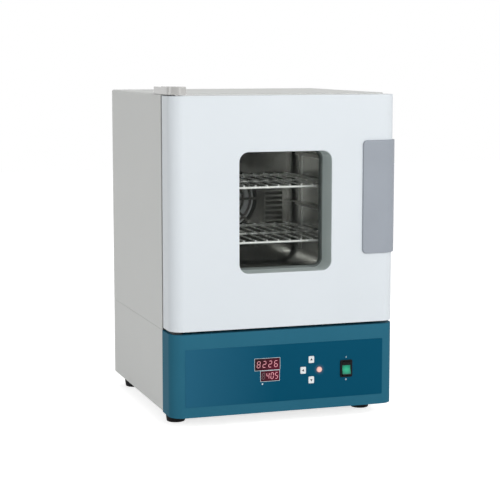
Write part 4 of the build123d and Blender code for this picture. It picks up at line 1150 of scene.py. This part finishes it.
@dataclass
class Door:
    """Hinged door: painted skin, double-glazed window, grip, and the seal behind."""

    width: float = 0.440
    corner: float = 0.025
    sheet: float = 1.5 * MM
    window: Point = (0.180, 0.223)
    window_radius: float = 0.018
    window_height: float = 0.3992
    rim: float = 1.6 * MM
    hem: float = 0.5 * MM
    reveal_end: float = 0.062
    collar: float = 7 * MM
    pane_depths: Point = (0.049, 0.057)
    pane: float = 4 * MM
    seal: float = 2.8 * MM
    seal_groove: float = 2 * MM
    seal_lip: float = 1 * MM
    seal_gap: float = 0.1 * MM
    seal_round: float = 0.3 * MM
    grip_left: float = 0.1518
    grip_proud: float = 4 * MM
    grip_wall: float = 5 * MM
    grip_corner: float = 8 * MM
    grip_round: float = 1.4 * MM
    lip_depth: float = 0.021
    pocket_left: float = 0.182
    pocket_width: float = 0.06
    pocket_depth: float = 0.046
    pocket_wall: float = 2.5 * MM
    pocket_margin: float = 8 * MM
    gasket_corner: float = 0.052
    gasket_lobe: float = 14 * MM
    gasket_round: float = 3.4 * MM
    beyond: float = 0.01
    front: float = field(default_factory=lambda: low("door_skin").y)

    def opening(self, grow: float = 0.0) -> list[Point]:
        """Outline of the window.

        Args:
            grow: How much larger it is, all round.

        Returns:
            The closed outline.
        """
        width, height = self.window[0] + 2 * grow, self.window[1] + 2 * grow
        return round_box((0.0, self.window_height), width, height, self.window_radius + grow)

    def ring(
        self, name: str, outer: float, inner: float, start: float, end: float
    ) -> bpy.types.Object:
        """Ring round the window.

        Args:
            name: Name of the piece.
            outer: How much larger than the window its outside is.
            inner: How much larger than the window its inside is.
            start: Depth behind the door's front where it begins.
            end: Depth where it ends.

        Returns:
            The ring.
        """
        depths = (self.front + start, self.front + end)
        return band(name, self.opening(outer), self.opening(inner), Way.Y, *depths, True)

    def skin(self) -> None:
        """Bent front sheet with the rolled window rim."""
        floor, top, rear = low("door_skin").z, high("door_skin").z, high("door_skin").y
        inside, inner_corner = self.front + self.sheet, self.corner - self.sheet
        outer = bow(self.width, rear, self.front, self.corner, 28)
        inner = bow(self.width - 2 * self.sheet, rear, inside, inner_corner, 28)
        skin = band("door_front_skin", outer, inner, Way.Z, floor, top, False)
        near = self.front - self.beyond
        hole = prism("hole", self.opening(), Way.Y, near, self.front + self.beyond)
        pocket_low = low("door_handle").z + self.pocket_margin
        pocket_high = high("door_handle").z - self.pocket_margin
        centre = (self.pocket_left + self.pocket_width / 2, (pocket_low + pocket_high) / 2)
        mouth = round_box(centre, self.pocket_width, pocket_high - pocket_low, 0.1 * MM, 1)
        pocket = prism("pocket", mouth, Way.Y, near, self.front + self.pocket_depth)
        carve(skin, [hole, pocket])
        half_width, half_height = self.window[0] / 2 + MM, self.window[1] / 2 + MM
        soften(
            skin,
            self.rim,
            lambda at: at.y < self.front + TOUCH
            and abs(at.x) < half_width
            and abs(at.z - self.window_height) < half_height,
            segments=5,
        )
        soften(skin, self.hem, lambda at: at.z < floor + TOUCH or at.z > top - TOUCH, segments=2)
        polish(skin, crease=25)
        dress(skin, Shade.DOOR_PAINT, "door", "door_paint", "door_skin")

    def glazing(self) -> None:
        """Sleeve, two panes and the grooved seals that hold them."""
        start, sheet = low("window_reveal").y - self.front, self.sheet
        sleeve = self.ring("window_sleeve", sheet, 0.0, start, self.reveal_end)
        collar = self.ring("collar", sheet + self.collar, sheet, start, start + sheet)
        sleeve = polish(merge("window_sleeve", [sleeve, collar]))
        dress(sleeve, Shade.REVEAL_GREY, "door", "stainless", "window_reveal")
        steps = (
            (self.seal, -self.seal_lip, 0.0),
            (self.seal_groove, 0.0, self.pane),
            (self.seal, self.pane, self.pane + self.seal_lip),
        )
        lips = []
        for depth in self.pane_depths:
            for inwards, near, far in steps:
                lip = self.ring("lip", -self.seal_gap, -inwards, depth + near, depth + far)
                soften(lip, self.seal_round, segments=2)
                lips.append(lip)
        seals = polish(merge("glazing_seals", lips))
        dress(seals, Shade.DARK_SEAL, "door", "silicone_dark", "glass_seals")
        paint(Shade.GLASS, "outer_glass", "inner_glass")

    def grip(self) -> None:
        """Grip plate wrapped round the door's edge, over its finger pocket."""
        floor, top = low("door_handle").z, high("door_handle").z
        half = self.width / 2
        centre = (half - self.corner, self.front + self.corner)
        outside = self.corner + self.grip_proud
        hollow = outside - self.grip_wall
        turn = -degrees(asin((self.corner - self.lip_depth) / outside))
        outline = [
            (self.grip_left, self.front - self.grip_proud),
            *arc(centre, outside, -90, turn, 20),
            *arc(centre, hollow, turn, -90, 20),
            (self.grip_left, centre[1] - hollow),
        ]
        plate = prism("door_grip", outline, Way.Z, floor, top)
        soften(
            plate,
            self.grip_corner,
            lambda at: at.x < self.grip_left + TOUCH
            and (at.z < floor + TOUCH or at.z > top - TOUCH),
            segments=8,
        )
        soften(plate, self.grip_round, lambda at: at.y < centre[1], segments=4, sharper_than=30)
        back, wall, edge = self.front + self.pocket_depth, self.pocket_wall, self.pocket_margin
        outline = [
            (self.pocket_left, centre[1] - hollow),
            *arc(centre, hollow, -90, -4, 12),
            (half - MM, back),
            (self.pocket_left, back),
        ]
        cup = prism("cup", outline, Way.Z, floor + edge, top - edge)
        left, right = self.pocket_left + wall, half + 2 * self.beyond
        near, far = self.front - self.beyond, back - wall
        outline = [(left, near), (right, near), (right, far), (left, far)]
        room = prism("room", outline, Way.Z, floor + edge + wall, top - edge - wall)
        carve(cup, [room])
        grip = polish(merge("door_grip", [plate, cup]), crease=30)
        dress(grip, Shade.GREY_GRIP, "door", "grey_plastic", "door_handle")

    def back(self) -> None:
        """Gasket, inner panel, caps, magnets and bushes."""
        first, last = low("door_gasket"), high("door_gasket")
        centre, size = (0.0, (first.z + last.z) / 2), last - first
        corner, lobe = self.gasket_corner, self.gasket_lobe
        outer = round_box(centre, size.x, size.z, corner)
        inner = round_box(centre, size.x - 2 * lobe, size.z - 2 * lobe, corner - lobe)
        bulb = band("gasket_bulb", outer, inner, Way.Y, first.y, last.y, True)
        soften(bulb, self.gasket_round, lambda at: at.y > first.y + MM, segments=6)
        dress(polish(bulb), Shade.PALE_SEAL, "door", "silicone_grey", "door_gasket")
        paint(Shade.STEEL_FRAME, "door_inner_panel")
        paint(Shade.PALE_CAP, "door_cap_top", "door_cap_bottom")
        paint(Shade.MAGNET, "door_magnets")
        paint(Shade.BEARING, "hinge_bushes")
        paint(Shade.WOOL, "door_insulation")

    def build(self) -> None:
        """The whole door."""
        self.skin()
        self.glazing()
        self.grip()
        self.back()


class Segment(Enum):
    """Bars of a seven-segment digit: the middle's place in half widths and quarter heights.

    The third value says whether the bar lies flat.
    """

    TOP = (0, 2, True)
    MIDDLE = (0, 0, True)
    BOTTOM = (0, -2, True)
    UPPER_LEFT = (-1, 1, False)
    UPPER_RIGHT = (1, 1, False)
    LOWER_LEFT = (-1, -1, False)
    LOWER_RIGHT = (1, -1, False)


# Bars that a numeral leaves out. A blank shows all its bars unlit.
UNLIT: dict[str, tuple[Segment, ...]] = {
    " ": (),
    "0": (Segment.MIDDLE,),
    "2": (Segment.UPPER_LEFT, Segment.LOWER_RIGHT),
    "4": (Segment.TOP, Segment.BOTTOM, Segment.LOWER_LEFT),
    "5": (Segment.UPPER_RIGHT, Segment.LOWER_LEFT),
    "6": (Segment.UPPER_RIGHT,),
    "8": (),
}


@dataclass
class ControlPanel:
    """Printed film, two digit displays, lamp, keys and the lit power rocker."""

    shown_upper: str = "8226"
    shown_lower: str = " 405"
    digit: Point = (5.6 * MM, 11.5 * MM)
    digit_fill: Point = (0.56, 0.58)
    side_gap: float = 0.35
    bar: float = 1.0 * MM
    lean: float = 0.08
    outline: float = 0.6 * MM
    outline_gap: float = 0.1 * MM
    outline_rounds: Point = (0.8 * MM, 0.3 * MM)
    ink: float = 0.08 * MM
    arrow: float = 3.0 * MM
    on_mark: Point = (0.8 * MM, 3.6 * MM)
    on_rise: float = 5.2 * MM
    off_mark: Point = (2.6 * MM, 3.4 * MM)
    off_round: float = 1.29 * MM
    off_line: float = 0.55 * MM
    off_drop: float = 4.6 * MM
    film_front: float = field(default_factory=lambda: low("panel_overlay").y)

    def bar_shape(
        self, segment: Segment, at: Point, size: Point, face: float
    ) -> bpy.types.Object:
        """One bar of a digit.

        Args:
            segment: Which bar.
            at: Middle of the digit.
            size: Width and height of the digit.
            face: The display's face.

        Returns:
            The bar, pointed at both ends and leaning with its digit.
        """
        across, up, flat = segment.value
        rise = up * size[1] / 4
        thin = self.bar / 2
        long = (size[0] if flat else size[1] / 2) / 2 - 0.4 * self.bar
        tips = [
            (-long, 0.0),
            (thin - long, -thin),
            (long - thin, -thin),
            (long, 0.0),
            (long - thin, thin),
            (thin - long, thin),
        ]
        if not flat:
            tips = [(b, a) for a, b in tips]
        points = [
            (at[0] + across * size[0] / 2 + a + self.lean * (rise + b), at[1] + rise + b)
            for a, b in tips
        ]
        return prism("bar", points, Way.Y, face - self.ink, face + self.ink)

    def digits(self, node: str, shown: str) -> None:
        """Seven-segment digits on a display.

        Args:
            node: The display's node.
            shown: The digits, with a blank for each dark one.
        """
        face, size = low(node).y, high(node) - low(node)
        pitch = size.x / (len(shown) + self.side_gap)
        width = min(self.digit[0], self.digit_fill[0] * pitch)
        height = min(self.digit[1], self.digit_fill[1] * size.z)
        bars: dict[Shade, list[bpy.types.Object]] = {Shade.LIT_BARS: [], Shade.DARK_BARS: []}
        for place, numeral in enumerate(shown):
            at = (middle(node).x + (place - (len(shown) - 1) / 2) * pitch, middle(node).z)
            finish = Shade.DARK_BARS if numeral == " " else Shade.LIT_BARS
            for segment in Segment:
                if segment not in UNLIT[numeral]:
                    bars[finish].append(self.bar_shape(segment, at, (width, height), face))
        for finish, shapes in bars.items():
            if shapes:
                whole = merge(f"{node}_{finish.value.name}", shapes)
                dress(whole, finish, "cabinet", "display_red")

    def ink_ring(
        self, name: str, outer: Sequence[Point], inner: Sequence[Point]
    ) -> bpy.types.Object:
        """Printed ring on the film.

        Args:
            name: Name of the piece.
            outer: Its outside.
            inner: Its inside, with as many points.

        Returns:
            The ring.
        """
        start, end = self.film_front - self.ink, self.film_front + self.ink
        return band(name, outer, inner, Way.Y, start, end, True)

    def outlines(self) -> None:
        """White outlines of the two displays."""
        frames = []
        for node in ("display_upper", "display_lower"):
            size, at = high(node) - low(node), (middle(node).x, middle(node).z)
            rings = [
                round_box(at, size.x + 2 * grow, size.z + 2 * grow, radius, 4)
                for grow, radius in zip((self.outline, self.outline_gap), self.outline_rounds)
            ]
            frames.append(self.ink_ring("frame", *rings))
        dress(merge("display_outlines", frames), Shade.WHITE_INK, "cabinet", "teal_film")

    def switch_marks(self) -> None:
        """Printed stroke above the switch and ring below it."""
        across = middle("switch_body").x
        width, height = self.on_mark
        start, end = self.film_front - self.ink, self.film_front + self.ink
        above = (across, high("switch_body").z + self.on_rise)
        upright = round_box(above, width, height, 0.49 * width, 4)
        stroke = prism("stroke", upright, Way.Y, start, end)
        below = (across, low("switch_body").z - self.off_drop)
        rings = [
            round_box(
                below,
                self.off_mark[0] - 2 * inset,
                self.off_mark[1] - 2 * inset,
                self.off_round - inset,
                8,
            )
            for inset in (0.0, self.off_line)
        ]
        marks = merge("switch_marks", [stroke, self.ink_ring("ring", *rings)])
        dress(marks, Shade.WHITE_INK, "cabinet", "teal_film")

    def arrows(self) -> None:
        """Dark triangles on the three white keys."""
        for node, turn in (("key_up", 90.0), ("key_left", 180.0), ("key_down", 270.0)):
            at, face = middle(node), low(node).y
            tips = arc((at.x, at.z), self.arrow, turn, turn + 240.0, 2)
            mark = prism(f"{node}_arrow", tips, Way.Y, face - self.ink / 4, face + self.ink)
            dress(mark, Shade.BLACK_INK, node, "key_white")

    def build(self) -> None:
        """The whole panel."""
        paint(Shade.TEAL_SHELL, "control_housing")
        paint(Shade.TEAL_FILM, "panel_overlay")
        paint(Shade.DISPLAY, "display_upper", "display_lower")
        paint(Shade.LAMP, "status_led")
        paint(Shade.WHITE_KEY, "key_up", "key_left", "key_down")
        paint(Shade.SET_KEY, "key_set")
        paint(Shade.BLACK_PLASTIC, "switch_body")
        paint(Shade.ROCKER, "switch_rocker")
        paint(Shade.BOARD, "controller_board", "power_board")
        self.digits("display_upper", self.shown_upper)
        self.digits("display_lower", self.shown_lower)
        self.outlines()
        self.switch_marks()
        self.arrows()


@dataclass
class Chamber:
    """Stainless chamber with its duct plate, fan, heater, rails and wire shelves."""

    rod: float = 2.5 * MM
    wire: float = 1.5 * MM
    cross_bar: float = 2.0 * MM
    wires: int = 12
    pitch: float = 22.8 * MM
    bend: float = 12 * MM

    def shelf(self, node: str) -> None:
        """One wire shelf: bent rod loop, middle bar and front-to-back wires.

        Args:
            node: The shelf's node, which is also its body.
        """
        first, last = low(node), high(node)
        height, top = first.z + self.rod, last.z - self.wire
        centre = ((first.x + last.x) / 2, (first.y + last.y) / 2)
        width, depth = last.x - first.x - 2 * self.rod, last.y - first.y - 2 * self.rod
        loop = [Vector((x, y, height)) for x, y in round_box(centre, width, depth, self.bend, 8)]
        reach = (last.x - first.x) / 2 - self.rod
        bar = [Vector((centre[0] + side * reach, centre[1], height)) for side in (-1, 1)]
        pieces = [rod("loop", loop, self.rod, True), rod("bar", bar, self.cross_bar)]
        ends = (first.y + self.rod / 2, last.y - self.rod / 2)
        for place in range(self.wires):
            x = centre[0] + (place - (self.wires - 1) / 2) * self.pitch
            pieces.append(rod("wire", [Vector((x, y, top)) for y in ends], self.wire))
        wires = polish(merge(f"{node}_wires", pieces), crease=50)
        dress(wires, Shade.CHROME_WIRE, node, "chrome_wire", node)

    def build(self) -> None:
        """The whole chamber."""
        for node in ("shelf_upper", "shelf_lower"):
            self.shelf(node)
        paint(Shade.STEEL_LINER, "chamber_liner")
        paint(Shade.STEEL_FRAME, "front_frame")
        # The duct plate's darker steel paints the shade at the chamber's back
        paint(Shade.STEEL_DUCT, "duct_plate")
        paint(Shade.RAIL_STEEL, "shelf_rail_left", "shelf_rail_right")
        paint(Shade.ALLOY, "fan_impeller", "fan_motor")
        paint(Shade.GROUND_STEEL, "motor_shaft", "temperature_probe")
        paint(Shade.HEATER_SHEATH, "heater_element")
        paint(Shade.WOOL, "insulation_wool")


@dataclass
class Cabinet:
    """Painted cabinet, its feet, hinges, back and fasteners."""

    foot_steps: int = 56
    foot_tip: float = 17.5 * MM
    foot_roll: float = 2 * MM
    foot_hole: float = 6 * MM
    foot_hole_top: float = 12 * MM
    foot_chamfer: float = 0.5 * MM
    foot_mouth: float = 0.3 * MM
    # Groove and rim under the seat: how far in from the rim, and how far down from the seat
    foot_rim: tuple[Point, ...] = (
        (0.6 * MM, 3.2 * MM),
        (1.4 * MM, 2.8 * MM),
        (1.4 * MM, 2.2 * MM),
        (0.3 * MM, 1.8 * MM),
        (0.0, 1.2 * MM),
        (0.0, 0.3 * MM),
        (0.3 * MM, 0.0),
    )

    def foot(self, node: str) -> None:
        """One rubber foot, with a rolled lower edge and a groove under its seat.

        Args:
            node: The foot's node.
        """
        first, last, centre = low(node), high(node), middle(node)
        rim, height = (last.x - first.x) / 2, last.z - first.z
        hole, chamfer = self.foot_hole, self.foot_chamfer
        profile = [
            (hole + chamfer, self.foot_mouth),
            (hole + 2 * chamfer, 0.0),
            *arc((self.foot_tip - self.foot_roll, self.foot_roll), self.foot_roll, -90, -6, 6),
            *[(rim - inwards, height - down) for inwards, down in self.foot_rim],
            (hole, height),
            (hole, self.foot_hole_top),
            (hole + chamfer, self.foot_hole_top - chamfer),
        ]
        stand = Vector((centre.x, centre.y, first.z))
        piece = polish(lathe(f"{node}_rubber", profile, stand, Way.Z, self.foot_steps))
        dress(piece, Shade.FOOT_RUBBER, "cabinet", "rubber_black", node)

    def build(self) -> None:
        """The whole cabinet."""
        for node in ("foot_front_left", "foot_front_right", "foot_rear_left", "foot_rear_right"):
            self.foot(node)
        paint(Shade.CABINET_PAINT, "cabinet_wrap", "base_tray", "back_panel", "motor_cover")
        paint(Shade.INNER_PAINT, "base_deck")
        paint(Shade.SILVER_CAP, "hinge_cover")
        paint(Shade.ZINC, "motor_plate", "hinge_plate_top", "vent_pipe", "vent_shutter")
        paint(Shade.BLACKENED, "hinge_plate_bottom")
        paint(Shade.GROUND_STEEL, "hinge_pin_top", "hinge_pin_bottom")
        paint(Shade.SCREW_PLATE, "case_screws", "foot_screws")
        paint(Shade.RELAY_BLACK, "solid_state_relay", "mains_inlet")


@dataclass(frozen=True)
class Lamp:
    """Square soft lamp, with its power in watts."""

    name: str
    place: Place
    size: float
    power: float


@dataclass
class Studio:
    """Pale floor, soft lamps and the camera at the photograph's angle."""

    camera_place: Place = (-0.940592, -2.855881, 0.686619)
    camera_turn: Point = (82.653, -18.434)
    lens: float = 109.06
    sensor: float = 36.0
    floor_reach: float = 6.0
    floor_colour: Colour = (0.8, 0.8, 0.8)
    floor_glow: float = 0.7
    world_grey: float = 0.42
    aim: Place = (0.0, 0.0, 0.32)
    lamps: tuple[Lamp, ...] = (
        Lamp("key_lamp", (0.9, -3.4, 2.0), 2.5, 77),
        Lamp("front_lamp", (-0.78, -2.92, 0.8), 0.28, 6),
        Lamp("fill_lamp", (-3.3, 0.6, 1.2), 1.8, 17),
        Lamp("top_lamp", (0.3, 0.9, 3.2), 1.6, 12),
    )

    def paper(self, tree: Tree) -> Value:
        """Diffuse floor that the camera and reflections see as white.

        Args:
            tree: The material's nodes.

        Returns:
            The shader.
        """
        glow = tree.shown() * self.floor_glow
        diffuse = tree.node("ShaderNodeBsdfDiffuse", {}, {"Color": (*self.floor_colour, 1)})
        light = tree.node("ShaderNodeEmission", {}, {"Color": (1, 1, 1, 1), "Strength": glow})
        return tree.node("ShaderNodeAddShader", {}, {0: diffuse, 1: light})

    def floor(self) -> None:
        """Pale floor under the feet."""
        reach = self.floor_reach
        bm = bmesh.new()
        corners = ((-reach, -reach), (reach, -reach), (reach, reach), (-reach, reach))
        bm.faces.new([bm.verts.new((x, y, 0)) for x, y in corners])
        floor = mesh_object("studio_floor", bm)
        floor.data.materials.append(new_material("floor_paper", self.paper))

    def hang(self, lamp: Lamp) -> None:
        """Puts a lamp up, facing the oven.

        Args:
            lamp: The lamp.
        """
        data = bpy.data.lights.new(lamp.name, "AREA")
        data.shape = "SQUARE"
        data.size = lamp.size
        data.energy = lamp.power
        hung = add_object(lamp.name, data)
        hung.location = lamp.place
        aim = Vector(self.aim) - Vector(lamp.place)
        hung.rotation_euler = aim.to_track_quat("-Z", "Y").to_euler()

    def world(self) -> None:
        """Even grey light, which the camera and reflections see as white."""
        scene = bpy.context.scene
        scene.world = bpy.data.worlds.new("studio_world")
        scene.world.use_nodes = True
        tree = Tree(scene.world.node_tree)
        strength = self.world_grey + (1 - self.world_grey) * tree.shown()
        sockets = {"Color": (1, 1, 1, 1), "Strength": strength}
        light = tree.node("ShaderNodeBackground", {}, sockets)
        tree.node("ShaderNodeOutputWorld", {}, {"Surface": light}, output=None)

    def camera(self) -> None:
        """Camera where the photograph was taken from."""
        data = bpy.data.cameras.new("photo_camera")
        data.lens = self.lens
        data.sensor_width = self.sensor
        camera = add_object("photo_camera", data)
        camera.location = self.camera_place
        tilt, turn = self.camera_turn
        camera.rotation_euler = (radians(tilt), 0, radians(turn))
        bpy.context.scene.camera = camera

    def build(self) -> None:
        """Floor, light and camera."""
        self.floor()
        self.world()
        for lamp in self.lamps:
            self.hang(lamp)
        self.camera()
        bpy.context.scene.view_settings.view_transform = "Standard"


def main() -> None:
    """Builds the studio and the oven's sub-assemblies."""
    logging.basicConfig(level=logging.INFO, format="%(message)s")
    for part in (Studio(), Cabinet(), Chamber(), Door(), ControlPanel()):
        log.info("building %s", type(part).__name__)
        part.build()


if __name__ == "__main__":
    main()
